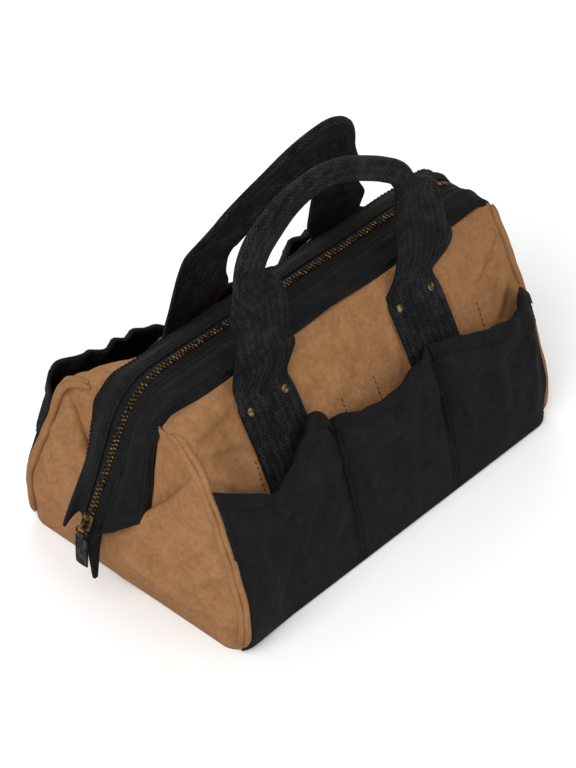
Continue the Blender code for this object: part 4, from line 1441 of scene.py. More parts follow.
@dataclass
class MouthHalf:
    """One half of the mouth: the black band, the zip tape, the wire's sleeve and the teeth."""

    shape: BagShape
    finishes: Finishes
    side: Side
    repeater: Repeater
    thickness: float = 0.0018
    tape_shares: Pair = (0.025, 0.38)
    tape_thickness: float = 0.0009
    tape_lift: float = -0.0003
    band_shares: Pair = (0.30, 1.03)
    foot_drop: float = 0.0042
    flap: tuple = (-0.0215, -0.0050, -0.0150)
    sleeve_radius: float = 0.0027
    sleeve_lift: float = -0.0043
    wander: Pair = (0.022, 0.061)
    chain_start: float = 0.0125
    chain_half_gap: float = 0.0013
    chain_lift: float = 0.0003
    tooth_pitch: float = 0.0027
    tooth: tuple = (0.00115, 0.0027, 0.0019)

    @property
    def body(self) -> str:
        """The body that this half rides on."""
        return f"{self.side.word}_frame"

    def lift(self, across: Array, along: Array) -> Array:
        """How far the band puffs out.

        Args:
            across: Share from the ridge to the hem.
            along: Place along the mouth.

        Returns:
            The distance out of the band.
        """
        puff = 0.0009 + 0.0016 * bell(across - 0.62, 0.30) + 0.0006 * bell(across - 0.93, 0.05)
        puff = puff + 0.0013 * bell(across - 0.50, 0.06)
        seed = 90 if self.side is Side.FRONT else 95
        uneven = 0.00055 * waves(along, across * 0.03, 0.035, seed) * smooth(across / 0.5)
        return puff + uneven - 0.0012 * smooth((across - 0.965) / 0.035)

    def build(self) -> None:
        """Makes the band, the tape, the sleeve and the teeth."""
        shape, side, word = self.shape, self.side, self.side.word
        ridge = shape.ridge
        run = arc_lengths(ridge)
        first, last = self.band_shares
        rows = np.concatenate([np.linspace(first, 0.94, 18), np.linspace(0.955, last, 6)])
        across, along = np.meshgrid(rows, run, indexing="ij")
        sway, length = self.wander
        wobble = sway * np.sin(run * TAU / length + side.value) * smooth((rows[:, None] - 0.8) / 0.2)
        points = self.band_points(rows, self.lift(across, along), wobble)
        drop = self.foot_drop * (2 - smooth(run / 0.010) - smooth((run[-1] - run) / 0.010))
        points = points + drop[None, :, None] * stack(np.sign(ridge[:, 0]) * 0.45, 0, -1.0)[None]
        if side is Side.BACK:
            pull = (1 - smooth(run / 0.026)) * smooth((rows[:, None] - 0.45) / 0.5)
            points = points + pull[..., None] * np.array(self.flap)
        facing = (0.0, side.value * 0.4, 1.0)
        mesh = cloth_shell(f"{word}_band_cloth", points, facing, self.thickness)
        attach(add_piece(f"{word}_band_cloth", mesh, self.finishes.of("black_band", "black_band"),
                          [f"{word}_band"]), self.body)
        points = self.band_points(np.linspace(*self.tape_shares, 6), self.tape_lift, 0.0)
        mesh = cloth_shell(f"{word}_zip_tape", points, facing, self.tape_thickness)
        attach(add_piece(f"{word}_zip_tape", mesh, self.finishes.of("black_tape", "black_tape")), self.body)
        line = shape.band(side, np.array([0.5]), self.sleeve_lift)[0][3:-3]
        sleeve = round_tube(f"{word}_wire_sleeve", line, self.sleeve_radius, 10)
        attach(add_piece(f"{word}_wire_sleeve", sleeve, self.finishes.of("black_band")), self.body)
        self.build_teeth(run)

    def band_points(self, rows: Array, lift: Number, wobble: Number) -> Array:
        """Band points with a wandering edge.

        Args:
            rows: Shares from the ridge to the hem.
            lift: Distance out of the band.
            wobble: How far the shares wander.

        Returns:
            One row of points for each share.
        """
        flat = self.shape.band(self.side, rows, lift)
        ahead = self.shape.band(self.side, rows + 0.01, lift)
        return flat + (ahead - flat) * np.asarray(wobble / 0.01)[..., None]

    def build_teeth(self, run: Array) -> None:
        """Sets the brass teeth along the ridge.

        Args:
            run: Running length of the ridge.
        """
        side, word, ridge = self.side, self.side.word, self.shape.ridge
        tooth = soft_block("tooth", self.tooth, (0, -side.value * 0.0002, -0.0007), 0.00030, 1)
        offset = 0.0 if side is Side.FRONT else self.tooth_pitch / 2
        places = np.arange(self.chain_start + offset, run[-1] - self.chain_start, self.tooth_pitch / 3)
        x, z = np.interp(places, run, ridge[:, 0]), np.interp(places, run, ridge[:, 1])
        path = stack(x, side.value * self.chain_half_gap, z + self.chain_lift)
        tangent = unit(np.gradient(path, axis=0))
        top = unit(stack(-tangent[:, 2], 0, tangent[:, 0]))
        brass = self.finishes.of("dark_brass")
        mesh = self.repeater.run(f"{word}_teeth", [(path, top)], tooth, self.tooth_pitch, brass[0], 0.06, 7)
        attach(add_piece(f"{word}_teeth", mesh, brass, [f"{word}_zip_chain"]), self.body)


@dataclass
class ZipSlider:
    """The slider on the left end run, its ring and its pull tab."""

    shape: BagShape
    finishes: Finishes
    place: float = 0.0065
    length: float = 0.0102
    width: float = 0.0076
    drop: float = 0.0058
    wire: float = 0.0007
    ring_width: float = 0.0080
    tab: tuple = (0.0014, 0.0096, 0.0225)
    tab_gap: float = 0.0014
    tab_margin: float = 0.0007

    @property
    def run(self) -> Matrix:
        """The slider's place.

        Returns:
            A matrix with its own axes: up the run, across, out.
        """
        ridge = self.shape.ridge
        rise = unit(ridge[1] - ridge[0])
        up, across, out = Vector((rise[0], 0, rise[1])), Vector((0, 1, 0)), Vector((-rise[1], 0, rise[0]))
        origin = Vector((ridge[0][0], 0, ridge[0][1])) + up * self.place
        return Matrix.Translation(origin) @ Matrix((up, across, out)).transposed().to_4x4()

    def build(self) -> None:
        """Makes the slider, the ring and the tab."""
        turn, brass = self.run, self.finishes.of("dark_brass")
        blocks = (
            ("plate", (self.length, self.width, 0.0016), (0, 0, 0.0013), 0.0007, 3),
            ("nose", (self.length * 0.5, self.width * 0.62, 0.0020), (0.0014, 0, 0.0014), 0.0009, 3),
            ("under", (self.length, 0.0046, 0.0013), (0, 0, -0.0034), 0.0005, 2),
            ("web", (0.0046, 0.0009, 0.0046), (0.0024, 0, -0.0012), 0.0002, 1),
        )
        angles = np.linspace(0, math.pi, 15)
        arch = stack(-0.0023 + 0.0026 * np.cos(angles) ** 3, 0, 0.0018 + 0.0041 * np.sin(angles) ** 0.6)
        bail = round_tube("bail", np.array([turn @ Vector(point) for point in arch]), 0.00075, 8)
        body = joined("slider_body", [soft_block(*block, turn) for block in blocks] + [bail])
        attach(add_piece("slider_body", body, brass, ["zip_slider"]), "slider")
        axis = np.array(turn @ Vector((-0.0034, 0, 0.0049)))
        around = np.linspace(0, TAU, 40, endpoint=False)
        cos, sin = np.cos(around), np.sin(around)
        ring = axis + stack(0, squarish(cos, 0.6) * self.ring_width / 2,
                            (squarish(sin, 0.6) - 1) * self.drop / 2)
        mesh = round_tube("pull_ring", ring, self.wire, 10, True)
        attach(add_piece("pull_ring", mesh, brass, ["pull_link"]), "link")
        self.build_tab(axis - [0, 0, self.drop], cos, sin)

    def build_tab(self, low: Array, cos: Array, sin: Array) -> None:
        """Makes the pull tab.

        Args:
            low: Where it hangs from the ring.
            cos: Cosines of the angles round its rim.
            sin: Sines of those angles.
        """
        thick, broad, tall = self.tab
        middle = -self.tab_gap - tall / 2
        rim = low + stack(0, squarish(cos, 0.35) * (broad / 2 - self.tab_margin),
                          middle + squarish(sin, 0.35) * (tall / 2 - self.tab_margin))
        meshes = [
            soft_block("plate", self.tab, (low[0], 0, low[2] + middle), 0.0006),
            round_tube("rim", rim, 0.00095, 8, True),
            round_tube("knuckle", low + stack(0, np.linspace(-0.0024, 0.0024, 7), 0), 0.0015),
            soft_block("neck", (thick, 0.0048, 0.0028), (low[0], 0, low[2] - self.tab_gap), 0.0004, 2),
        ]
        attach(add_piece("tab_plate", joined("tab_plate", meshes), self.finishes.of("gunmetal"),
                          ["pull_tab"]), "tab")


# Handles


@dataclass
class Handle:
    """One webbing handle: the two straps on the wall and the folded grip, as one strip."""

    shape: BagShape
    finishes: Finishes
    side: Side
    knots: tuple
    shift: float
    half_spacing: float = 0.068
    height: float = 0.125
    hinge: float = 0.1433
    hinge_stand: float = 0.0016
    strap_low: float = 0.070
    strap_gap: float = 0.006
    strap_stand: float = 0.0028
    strap_width: float = 0.0455
    leg_width: float = 0.0445
    grip_width: float = 0.0205
    flat: float = 0.0026
    thick: float = 0.0120
    inset: float = 0.0
    swell: float = 0.009
    ear: float = 0.009
    pinch: float = 0.004
    groove: float = 0.0022
    fold_start: float = 0.175
    fold_run: float = 0.085
    ear_place: Pair = (0.0150, 0.0110)
    pinch_place: Pair = (0.0005, 0.0060)
    swell_place: Pair = (0.30, 0.11)
    groove_place: Pair = (0.12, 0.16)
    level_end: Pair = (0.016, 0.030)
    corner_power: Pair = (0.22, 0.42)
    lining_shares: Pair = (0.80, 0.55)
    bend: Pair = (0.0053, 0.008)
    lean_degrees: float = 5.0
    strap_steps: int = 34
    steps_between_knots: int = 14
    sides: int = 28

    @property
    def upward(self) -> Array:
        """The way the grip stands up."""
        lean = math.radians(self.lean_degrees)
        return np.array([0, -self.side.value * math.sin(lean), math.cos(lean)])

    def hump(self, line: Array, place: Pair) -> Array:
        """A soft hump at a place, given by its middle and its width."""
        return bell(line - place[0], place[1])

    def loop(self) -> Array:
        """The grip's line.

        Returns:
            Smooth points of the loop in its own plane.
        """
        knots = np.array([(x * self.half_spacing, z * self.height) for x, z in self.knots])
        knots = np.concatenate([[2 * knots[0] - knots[1]], knots, [2 * knots[-1] - knots[-2]]])
        points = []
        for index in range(1, len(knots) - 2):
            before, first, second, after = knots[index - 1:index + 3]
            for share in np.arange(self.steps_between_knots) / self.steps_between_knots:
                points.append((first * 2 + (second - before) * share
                               + (before * 2 - first * 5 + second * 4 - after) * share ** 2
                               + (first * 3 - before - second * 3 + after) * share ** 3) / 2)
        return np.array([*points, knots[-2]])

    def centre_line(self) -> tuple[Array, Array, Array, Array]:
        """The strip's middle line.

        Returns:
            Its points, its width directions, its outward directions and its distance above the hinge.
        """
        side, shape, upward = self.side, self.shape, self.upward
        outward = np.array([0, side.value * upward[2], -side.value * upward[1]])
        flat = self.loop()
        tangents = unit(np.gradient(flat, axis=0))
        tangents[0], tangents[-1] = (0, 1), (0, -1)
        root = shape.wall(side, self.shift, self.hinge, self.hinge_stand)
        loop = root + stack(flat[:, 0], 0, 0) + flat[:, 1:] * upward
        loop_wide = stack(tangents[:, 1], 0, 0) - tangents[:, :1] * upward
        ups = np.linspace(self.strap_low, self.hinge - self.strap_gap, self.strap_steps)
        straps, strap_outs = [], []
        for end in End:
            along = np.full_like(ups, self.shift + end.value * self.half_spacing)
            points = shape.wall(side, along, ups, self.strap_stand)
            out = unit(np.cross(unit(np.gradient(points, axis=0)), [1.0, 0, 0]))
            straps.append(points)
            strap_outs.append(out * np.sign(out @ outward)[:, None])
        ones = np.tile([1.0, 0, 0], (len(ups), 1))
        points = np.concatenate([straps[0], loop, straps[1][::-1]])
        wide = np.concatenate([ones, loop_wide, -ones])
        out = np.concatenate([strap_outs[0], np.broadcast_to(outward, loop.shape), strap_outs[1][::-1]])
        rise = np.concatenate([ups - self.hinge, flat[:, 1], (ups - self.hinge)[::-1]])
        return points, unit(wide), unit(out), rise

    def build(self) -> None:
        """Makes the strip as one lofted body, its straps below the hinge and its grip above."""
        points, wide, out, rise = self.centre_line()
        length = arc_lengths(points)
        for _ in range(5):
            points[1:-1] = (points[:-2] + 2 * points[1:-1] + points[2:]) / 4
            out[1:-1] = unit(out[:-2] + 2 * out[1:-1] + out[2:])
        on_loop = length[rise >= 0]
        place = np.clip((length - on_loop[0]) / (on_loop[-1] - on_loop[0]), 0, 1)
        fold = smooth((np.minimum(place, 1 - place) - self.fold_start) / self.fold_run)
        ear = self.hump(rise, self.ear_place) * self.ear
        points = points + stack(ear * 0.4, 0, 0) + wide * (self.inset * fold)[:, None]
        level = 1 - smooth((rise - self.level_end[0]) / self.level_end[1])
        steady = np.where(np.arange(len(rise)) < len(rise) / 2, 1.0, -1.0)
        wide = unit(wide + (stack(steady, 0, 0) - wide) * level[:, None])
        leg = lerp(self.strap_width, self.leg_width, smooth(rise / 0.02))
        grip = self.grip_width + self.swell * self.hump(place, self.swell_place)
        half = (lerp(leg, grip, fold) + ear - self.pinch * self.hump(rise, self.pinch_place)) / 2
        depth = lerp(self.flat, self.thick, fold) / 2
        angle = TAU * (np.arange(self.sides) + 0.5) / self.sides
        cos, sin = np.cos(angle)[None], np.sin(angle)[None]
        fold, half = fold[:, None], half[:, None]
        power = self.corner_power[0] + self.corner_power[1] * fold
        across = squarish(cos, power) * half
        groove = self.hump(across / half, self.groove_place) * (sin < 0) * fold * self.groove
        cup = 0.0011 * np.sin(length[:, None] * 90 + across * 120) * (1 - fold) * smooth(rise / 0.01)[:, None]
        deep = squarish(sin, power) * depth[:, None] + groove + cup
        rings = points[:, None] + across[..., None] * wide[:, None] + deep[..., None] * out[:, None]
        word = self.side.word
        mesh = lofted(f"{word}_handle_webbing", rings)
        lined = (cos > self.lining_shares[0]) & (fold > self.lining_shares[1])
        parts = np.zeros(len(mesh.polygons), int)
        parts[:lined[:-1].size] = (lined[:-1] & np.roll(lined, -1, axis=1)[:-1]).ravel()
        mesh.polygons.foreach_set("material_index", parts)
        piece = add_piece(f"{word}_handle_webbing", mesh, self.finishes.of("black_webbing", "tan_inner"),
                          [f"{word}_handle", f"{word}_left_strap", f"{word}_right_strap"])
        below, above = self.bend
        start = self.shape.wall(self.side, 0.0, self.hinge - below, 0.0)
        finish = self.shape.wall(self.side, 0.0, self.hinge, self.hinge_stand) + above * self.upward
        tuple(start)
        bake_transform(piece)


# Ends


@dataclass
class EndCloth:
    """The tan canvas of one short end: the lower belly, the upper gussets and the pleat behind."""

    shape: BagShape
    finishes: Finishes
    end: End
    top_middle: float = 0.0530
    top_side: float = 0.127
    foot: float = 0.0006
    belly: float = 0.021
    swell: float = 0.0075
    roll_radius: float = 0.0042
    roll_start: float = 0.82
    roll_turn: float = 0.45
    tuck: float = 0.014
    half_width: float = 0.09
    thickness: float = 0.0018
    leaf_thickness: float = 0.0012
    apex: Pair = (0.0252, 0.1408)
    leaf_heights: Pair = (0.1400, 0.082)
    leaf_radii: Pair = (0.001, 0.079)
    leaf_gap_degrees: float = 42.0
    leaf_reaches: Pair = (0.1590, 0.1535)
    leaf_top_reach: float = 0.1520
    welt_inset: float = 0.0008
    band_low: float = 0.064
    band_reaches: Pair = (0.1523, 0.1604)
    band_fall: float = 0.0656
    band_half: float = 0.0250
    bend: Pair = (0.022, 0.0831)
    pleat_heights: Pair = (0.018, 0.076)
    pleat_halves: Pair = (0.072, 0.062)
    pleat_reach: float = 0.1405
    pleat_puff: float = 0.008
    pleat_tuck: float = 0.004
    pleat_bend: Pair = (0.030, 0.074)
    folds: tuple[Fold, ...] = (
        (0.98, 0.092, 0.45, 0.050, 0.0040, 0.0030), (0.97, 0.070, 0.55, 0.036, 0.0045, 0.0022),
        (0.05, 0.046, 0.50, 0.026, 0.0050, 0.0026), (0.20, 0.050, 0.60, 0.014, 0.0050, 0.0018),
        (0.99, 0.030, 0.70, 0.012, 0.0040, 0.0016),
    )

    def top(self, across: Array) -> Array:
        """Height of the lower panel's rolled edge."""
        return lerp(self.top_middle, self.top_side, across ** 0.95)

    def reach(self, across: Array, share: Array) -> Array:
        """How far out the lower panel stands.

        Args:
            across: Share from the middle of the end to the wall.
            share: Share from the foot to the rolled edge.

        Returns:
            The distance from the middle of the bag.
        """
        middle = (1 - across) ** 1.3
        swell = self.swell * np.sin(share * math.pi) ** 0.8 * (1 - across ** 3)
        return self.shape.half_length + self.belly * middle * share ** 1.2 + swell

    def build(self) -> None:
        """Makes the end's pieces."""
        for side in Side:
            self.build_lower(side)
            self.build_gussets(side)
        self.build_pleat()

    def build_lower(self, side: Side) -> None:
        """Makes one half of the belly panel, rolled in along its top.

        Args:
            side: Which half.
        """
        end = self.end
        across, row = grid(64, 74)
        share = np.clip(row / self.roll_start, 0, 1)
        rolled = np.clip((row - self.roll_start) / (1 - self.roll_start), 0, 1)
        angle = np.clip(rolled / self.roll_turn, 0, 1) * math.pi
        sunk = np.clip((rolled - self.roll_turn) / (1 - self.roll_turn), 0, 1) * self.tuck
        height = lerp(self.foot, self.top(across), share)
        radius = self.roll_radius * smooth((1 - across) / 0.10) + 0.0006
        inward = across * self.half_width
        seed = 110 + 10 * side.value + end.value
        uneven = 0.0011 * waves(inward, height, 0.045, seed) + 0.0005 * waves(inward, height, 0.017, 3)
        lines = [(a0 * self.half_width, h0, a1 * self.half_width, h1, width, tall)
                 for a0, h0, a1, h1, width, tall in self.folds]
        free = smooth(height / 0.015) * smooth((1 - across) / 0.08)
        uneven = uneven * smooth(across / 0.05) + folded(inward, height, lines)
        reach = self.reach(across, share) + uneven * free - radius + radius * np.cos(angle)
        height = height + radius * np.sin(angle) - sunk
        edge = self.shape.edge(side, end, np.clip(height, 0, 0.140), 0.0012)
        points = self.shape.settle(stack(end.value * reach, side.value * across * edge, height))
        name = f"{side.word}_{end.word}_belly"
        mesh = cloth_shell(name, points, (end.value, 0, 0.15), self.thickness)
        piece = add_piece(name, mesh, self.finishes.of("tan_canvas", "tan_inner"),
                          [f"{end.word}_end_panel"])
        start, finish = (tuple(self.shape.wall_normal(side) * depth) for depth in self.bend)
        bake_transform(piece)

    def build_gussets(self, side: Side) -> None:
        """Makes the two overlapping leaves between the piping and the band.

        Args:
            side: Which side of the end.
        """
        shape, end = self.shape, self.end
        apex_y, apex_z = self.apex
        high, low = self.leaf_heights
        welt_y = shape.edge(side, end, np.linspace(high, low, 60), 0.0014)
        welt_degrees = math.degrees(math.atan2(welt_y[-1] - apex_y, apex_z - low))
        across, share = grid(44, 60)
        row = share[:, 0]
        welt_half = np.interp(row, np.linspace(0, 1, 60), welt_y)
        welt = stack(shape.half_length - self.welt_inset, side.value * welt_half, lerp(high, low, row))
        band_z = lerp(apex_z, self.band_low, row)
        band_foot = np.clip((shape.seam_height - band_z) / self.band_fall, 0, 1)
        band = stack(lerp(*self.band_reaches, band_foot), side.value * self.band_half, band_z)
        radius = lerp(*self.leaf_radii, row)
        gap = self.leaf_gap_degrees
        outer_reach, inner_reach = self.leaf_reaches
        leaves = (("outer", f"{side.word}_wall", welt, outer_reach, max(welt_degrees - gap, 3.0)),
                  ("inner", f"{side.word}_frame", band, inner_reach, min(welt_degrees - 3.0, gap)))
        for layer, (word, body, sewn, free_reach, degrees) in enumerate(leaves):
            angle = math.radians(degrees)
            free = stack(lerp(self.leaf_top_reach, free_reach, row),
                         side.value * (apex_y + radius * math.sin(angle)), apex_z - radius * math.cos(angle))
            points = sewn[:, None] + (free - sewn)[:, None] * across[0][None, :, None]
            deep = 0.0035 + 0.0028 * layer
            hollow = deep * np.sin(across * math.pi * 0.5) * np.sin(share * math.pi * 0.6) ** 0.8
            ripple = np.sin(across * 9.5 + 2.0 * layer + side.value) * np.sin(across * math.pi)
            crumple = 0.0007 * waves(across * 0.04, share * 0.07, 0.022, 130 + layer + side.value) * share
            points[..., 0] += 0.0014 * share * ripple + crumple - hollow - 0.0016 * layer
            points[..., 0] *= end.value
            name = f"{side.word}_{end.word}_gusset_{word}"
            mesh = cloth_shell(name, points, (end.value, 0, 0.1), self.leaf_thickness)
            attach(add_piece(name, mesh, self.finishes.of("tan_canvas", "tan_inner"),
                              [f"{side.word}_{end.word}_gusset"]), body)

    def build_pleat(self) -> None:
        """Makes the spare canvas behind the lower panel, which on the real bag draws out as the beak rises.
        """
        end = self.end
        across, share = grid(70, 44)
        wide = 2 * across - 1
        height = lerp(*self.pleat_heights, share)
        half = np.minimum(lerp(*self.pleat_halves, share),
                          self.shape.edge(Side.BACK, end, height, 0.004))
        set_in = self.pleat_reach + self.pleat_puff * (1 - np.abs(wide)) * share
        set_in = set_in - self.pleat_tuck * smooth((share - 0.7) / 0.3)
        ripple = 0.0012 * np.sin(wide * 11) * share + 0.0006 * waves(wide * 0.07, height, 0.02, 150)
        points = stack(end.value * (set_in + ripple), wide * half, height)
        name = f"{end.word}_pleat_cloth"
        mesh = cloth_shell(name, points, (end.value, 0, 0.1), self.leaf_thickness)
        piece = add_piece(name, mesh, self.finishes.of("tan_canvas", "tan_inner"),
                          [f"{end.word}_pleat"])
        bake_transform(piece)


@dataclass
class BeakTab:
    """The black tail of tape that wraps the pivot at one end of the mouth and hangs to a point."""

    shape: BagShape
    finishes: Finishes
    end: End
    reach: float = 0.1798
    width: float = 0.0170
    tip: float = 0.0034
    depth: Pair = (0.0128, 0.0026)
    length: float = 0.0440
    top: float = 0.0700
    tilt: float = 0.0030
    sides: int = 28

    def build(self) -> None:
        """Makes the tail."""
        share = np.linspace(0, 1, 34)[:, None]
        angle = TAU * np.arange(self.sides)[None] / self.sides
        cos, sin = squarish(np.cos(angle), 0.55), squarish(np.sin(angle), 0.55)
        half = lerp(self.width, self.tip, share ** 0.85) / 2
        deep = lerp(*self.depth, smooth(share / 0.36)) / 2 * (1 - 0.35 * bell(share, 0.05))
        x = self.reach + 0.002 * smooth(share * 1.6) + half * cos
        z = self.top - self.length * share - self.tilt * cos * (1 - share)
        name = f"{self.end.word}_beak_tape"
        mesh = lofted(name, stack(self.end.value * x, deep * sin - 0.0006 * share, z))
        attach(add_piece(name, mesh, self.finishes.of("black_tape"),
                          [f"{self.end.word}_beak_tab"]), "pivots")


# Stitching


@dataclass
class Stitching:
    """Rows of thread on each body, set by one Geometry Nodes tree."""

    shape: BagShape
    finishes: Finishes
    repeater: Repeater
    walls: dict[Side, WallCloth]
    mouths: dict[Side, MouthHalf]
    pockets: dict[Side, OuterPockets]
    pitch: float = 0.0033
    unevenness: float = 0.12
    lift: float = 0.0001
    steps: int = 60
    inner_seams: tuple = (-0.1015, -0.0225, 0.0075, 0.1075)
    inner_heights: Pair = (0.106, 0.080)
    pocket_seams: tuple = ((0, 0.022), (0, 0.975), (1, 0.03), (1, 0.97), (2, 0.028), (2, 0.978))
    pocket_shares: Pair = (0.03, 0.97)
    edge_seam: float = 0.1468
    edge_ends: Pair = (0.006, 0.012)
    band_seams: tuple = (0.36, 0.84, 0.93)

    def stitch(self) -> Mesh:
        """Makes one stitch: a short thread with rounded ends.

        Returns:
            Its mesh, along X with its top to +Z.
        """
        places = np.array([-0.00125, -0.0011, -0.0005, 0.0005, 0.0011, 0.00125])
        radii = np.array([0.00006, 0.00022, 0.00030, 0.00030, 0.00022, 0.00006])
        rise = np.array([-0.0002, 0.0, 0.00012, 0.00012, 0.0, -0.0002])
        return round_tube("stitch", stack(places, 0, rise), radii, sides=6)

    def sew(self, name: str, body: str, rows: list, finish: str) -> None:
        """Sews rows on one body.

        Args:
            name: The piece's name.
            body: The body it rides on.
            rows: Pairs of points and facing directions.
            finish: The thread's finish.
        """
        thread = self.finishes.of(finish)
        mesh = self.repeater.run(name, rows, self.stitch(), self.pitch, thread[0], self.unevenness, 5)
        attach(add_piece(name, mesh, thread), body)

    def wall_row(self, side: Side, along: float, low: float, high: float) -> tuple[Array, Array]:
        """An upright row on a wall.

        Args:
            side: Which wall.
            along: Place along the bag.
            low: Where it starts up the wall.
            high: Where it ends.

        Returns:
            Its points and the way it faces.
        """
        ups = np.linspace(low, high, self.steps)
        points = self.walls[side].surface(np.full_like(ups, along), ups, self.lift)
        return self.shape.settle(points), self.shape.wall_normal(side)

    def pocket_row(self, side: Side, number: int, across: float) -> tuple[Array, Array]:
        """An upright row on a pocket beside its seam.

        Args:
            side: Which wall.
            number: The pocket, from 0 at the left.
            across: Share from its left seam to its right one.

        Returns:
            Its points and the way it faces.
        """
        share = np.linspace(*self.pocket_shares, self.steps)
        points = self.pockets[side].surface(number, np.full_like(share, across), share, self.lift)
        return points, self.shape.wall_normal(side)

    def band_row(self, side: Side, across: float) -> tuple[Array, Array]:
        """A row along a mouth band.

        Args:
            side: Which half of the mouth.
            across: Share from the ridge to the hem.

        Returns:
            Its points and the way each one faces.
        """
        mouth, share = self.mouths[side], np.array([across])
        lift = mouth.lift(share[:, None], arc_lengths(self.shape.ridge)[None]) + self.lift
        points, above = (mouth.band_points(share, lift + more, 0.0)[0] for more in (0.0, 0.001))
        return points[3:-3], unit(above - points)[3:-3]

    def build(self) -> None:
        """Sews every row."""
        low, high = self.edge_ends[0], self.shape.slope - self.edge_ends[1]
        for side in Side:
            word = side.word
            black = [self.wall_row(side, along, *self.inner_heights) for along in self.inner_seams]
            black += [self.pocket_row(side, *seam) for seam in self.pocket_seams]
            self.sew(f"{word}_wall_thread", f"{word}_wall", black, "black_thread")
            tan = [self.wall_row(side, end.value * self.edge_seam, low, high) for end in End]
            self.sew(f"{word}_seam_thread", f"{word}_wall", tan, "tan_thread")
            rows = [self.band_row(side, across) for across in self.band_seams]
            self.sew(f"{word}_band_thread", f"{word}_frame", rows, "black_thread")


# Room and camera


@dataclass(frozen=True)
class Lamp:
    """One soft square lamp that looks at the bag."""

    name: str
    place: tuple
    size: float
    power: float

    def build(self) -> None:
        """Hangs the lamp."""
        data = bpy.data.lights.new(self.name, "AREA")
        data.shape = "SQUARE"
        data.size = self.size
        data.energy = self.power
        lamp = bpy.data.objects.new(self.name, data)
        lamp.location = self.place
        aim = Vector((0, 0, 0.08)) - Vector(self.place)
        lamp.rotation_euler = aim.to_track_quat("-Z", "Y").to_euler()
        bpy.context.scene.collection.objects.link(lamp)


@dataclass(frozen=True)
class Studio:
    """Pale floor, soft lights and the camera."""

    place: tuple = (-1.06418, -0.91213, 1.25346)
    yaw: float = -49.15
    pitch: float = -40.26
    roll: float = 1.92
    lens: float = 136.51
    sensor: float = 36.0
    floor_half: float = 6.0
    floor_shade: float = 0.86
    floor_glow: float = 0.16
    sky_light: float = 0.50
    lamps: tuple[Lamp, ...] = (
        Lamp("key", (-1.45, -0.35, 1.55), 1.3, 31),
        Lamp("fill", (0.4, -1.9, 1.1), 1.6, 9),
        Lamp("rim", (0.9, 1.3, 1.4), 1.2, 12),
    )

    def floor(self) -> None:
        """Makes the floor, white to the camera apart from the shadow."""
        mesh = bpy.data.meshes.new("floor")
        half = self.floor_half
        mesh.from_pydata([(-half, -half, 0), (half, -half, 0), (half, half, 0), (-half, half, 0)], [],
                         [(0, 1, 2, 3)])
        graph = Graph("pale_floor")
        seen = graph.add("ShaderNodeLightPath", {}, {}, "Is Camera Ray")
        graph.surface(Base_Color=(self.floor_shade,) * 3, Roughness=0.9, Specular_IOR_Level=0.1,
                      Emission_Color=graph.mix(seen, (0.0, 0.0, 0.0), (self.floor_glow,) * 3),
                      Emission_Strength=1.0)
        mesh.materials.append(graph.material)
        floor = bpy.data.objects.new("floor", mesh)
        bpy.context.scene.collection.objects.link(floor)

    def sky(self) -> None:
        """Makes the world: plain light on the bag, white to the camera and in reflections."""
        world = bpy.data.worlds.new("studio")
        world.use_nodes = True
        bpy.context.scene.world = world
        tree = world.node_tree
        path = tree.nodes.new("ShaderNodeLightPath")
        back = tree.nodes["Background"]
        most = tree.nodes.new("ShaderNodeMath")
        most.operation = "MAXIMUM"
        reach = tree.nodes.new("ShaderNodeMapRange")
        reach.inputs["To Min"].default_value = self.sky_light
        reach.inputs["To Max"].default_value = 1.0
        back.inputs["Color"].default_value = (1, 1, 1, 1)
        tree.links.new(path.outputs["Is Camera Ray"], most.inputs[0])
        tree.links.new(path.outputs["Is Glossy Ray"], most.inputs[1])
        tree.links.new(most.outputs[0], reach.inputs[0])
        tree.links.new(reach.outputs[0], back.inputs["Strength"])

    def camera(self) -> None:
        """Sets the camera as the photograph was taken."""
        yaw, pitch, roll = (math.radians(value) for value in (self.yaw, self.pitch, self.roll))
        ahead = Vector((-math.sin(yaw) * math.cos(pitch), math.cos(yaw) * math.cos(pitch), math.sin(pitch)))
        level = Vector((math.cos(yaw), math.sin(yaw), 0))
        upright = level.cross(ahead)
        right = level * math.cos(roll) + upright * math.sin(roll)
        up = upright * math.cos(roll) - level * math.sin(roll)
        data = bpy.data.cameras.new("photograph")
        data.lens = self.lens
        data.sensor_width = self.sensor
        data.clip_end = 50
        camera = bpy.data.objects.new("photograph", data)
        turn = Matrix((right, up, -ahead)).transposed().to_4x4()
        camera.matrix_world = Matrix.Translation(self.place) @ turn
        bpy.context.scene.collection.objects.link(camera)
        bpy.context.scene.camera = camera

    def build(self) -> None:
        """Makes the whole room."""
        self.floor()
        for lamp in self.lamps:
            lamp.build()
        self.sky()
        self.camera()
        bpy.context.scene.view_settings.view_transform = "Standard"


# The whole bag

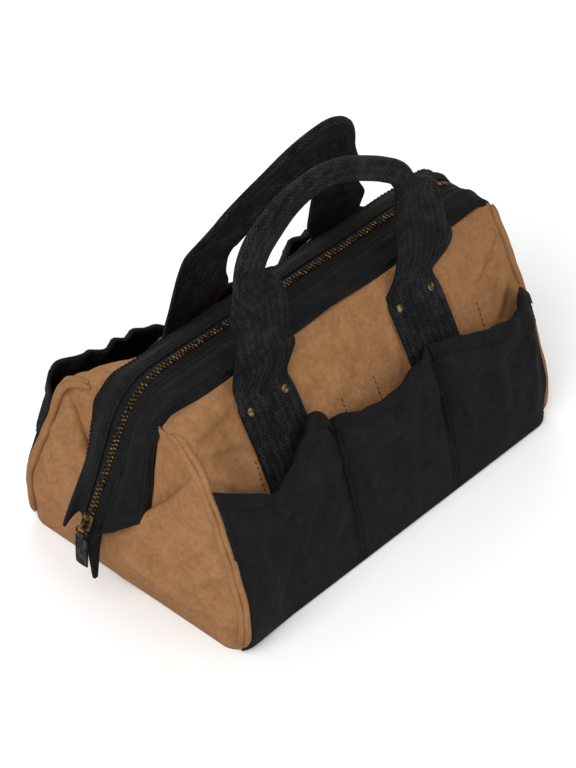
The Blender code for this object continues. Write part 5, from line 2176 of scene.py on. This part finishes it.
FRONT_LOOP = ((-1.00, 0.00), (-0.96, 0.144), (-0.94, 0.336), (-1.00, 0.512), (-1.06, 0.656), (-0.96, 0.776),
              (-0.757, 0.856), (-0.493, 0.92), (-0.169, 0.944), (0.154, 0.912), (0.449, 0.84), (0.713, 0.76),
              (0.919, 0.672), (1.06, 0.512), (1.17, 0.368), (1.21, 0.240), (1.18, 0.128), (1.07, 0.04),
              (1.00, 0.00))
BACK_LOOP = ((-1.00, 0.00), (-0.96, 0.112), (-0.88, 0.24), (-0.794, 0.368), (-0.647, 0.48), (-0.382, 0.552),
             (-0.088, 0.616), (0.176, 0.672), (0.441, 0.704), (0.72, 0.708), (0.92, 0.645), (0.99, 0.528),
             (0.95, 0.384), (0.91, 0.256), (0.95, 0.128), (1.00, 0.00))
HANDLES = {
    Side.FRONT: dict(knots=FRONT_LOOP, shift=-0.0085, grip_width=0.0155, thick=0.0085),
    Side.BACK: dict(knots=BACK_LOOP, shift=0.004, grip_width=0.0320, thick=0.0062, inset=0.0064, swell=0.002),
}
PACKED_FINISHES = {"base_board": "pressed_board", "pivot_pin": "antique_brass", "rivet": "antique_brass",
                   "frame_wire": "spring_steel"}


def dress_packed(frame: dict, finishes: Finishes) -> None:
    """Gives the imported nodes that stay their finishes.

    Args:
        frame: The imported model.
        finishes: The bag's finishes.
    """
    for name, node in frame["nodes"].items():
        for part, finish in PACKED_FINISHES.items():
            if part in name:
                node.data.materials.clear()
                node.data.materials.append(finishes.made[finish])


def main() -> None:
    """Builds the bag's classes in order and reports each piece."""
    logging.basicConfig(level=logging.INFO, format="%(name)s: %(message)s")
    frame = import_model()
    shape, finishes, repeater = BagShape(), Finishes(), Repeater()
    dress_packed(frame, finishes)
    BaseCloth(shape, finishes).build()
    walls = {side: WallCloth(shape, finishes, side) for side in Side}
    pockets = {side: OuterPockets(shape, finishes, side) for side in Side}
    mouths = {side: MouthHalf(shape, finishes, side, repeater) for side in Side}
    for side in Side:
        walls[side].build()
        pockets[side].build()
        InnerPockets(shape, finishes, side).build()
        mouths[side].build()
        Handle(shape, finishes, side, **HANDLES[side]).build()
    for end in End:
        EndCloth(shape, finishes, end).build()
        BeakTab(shape, finishes, end).build()
    ZipSlider(shape, finishes).build()
    Stitching(shape, finishes, repeater, walls, mouths, pockets).build()
    Studio().build()


if __name__ == "__main__":
    main()
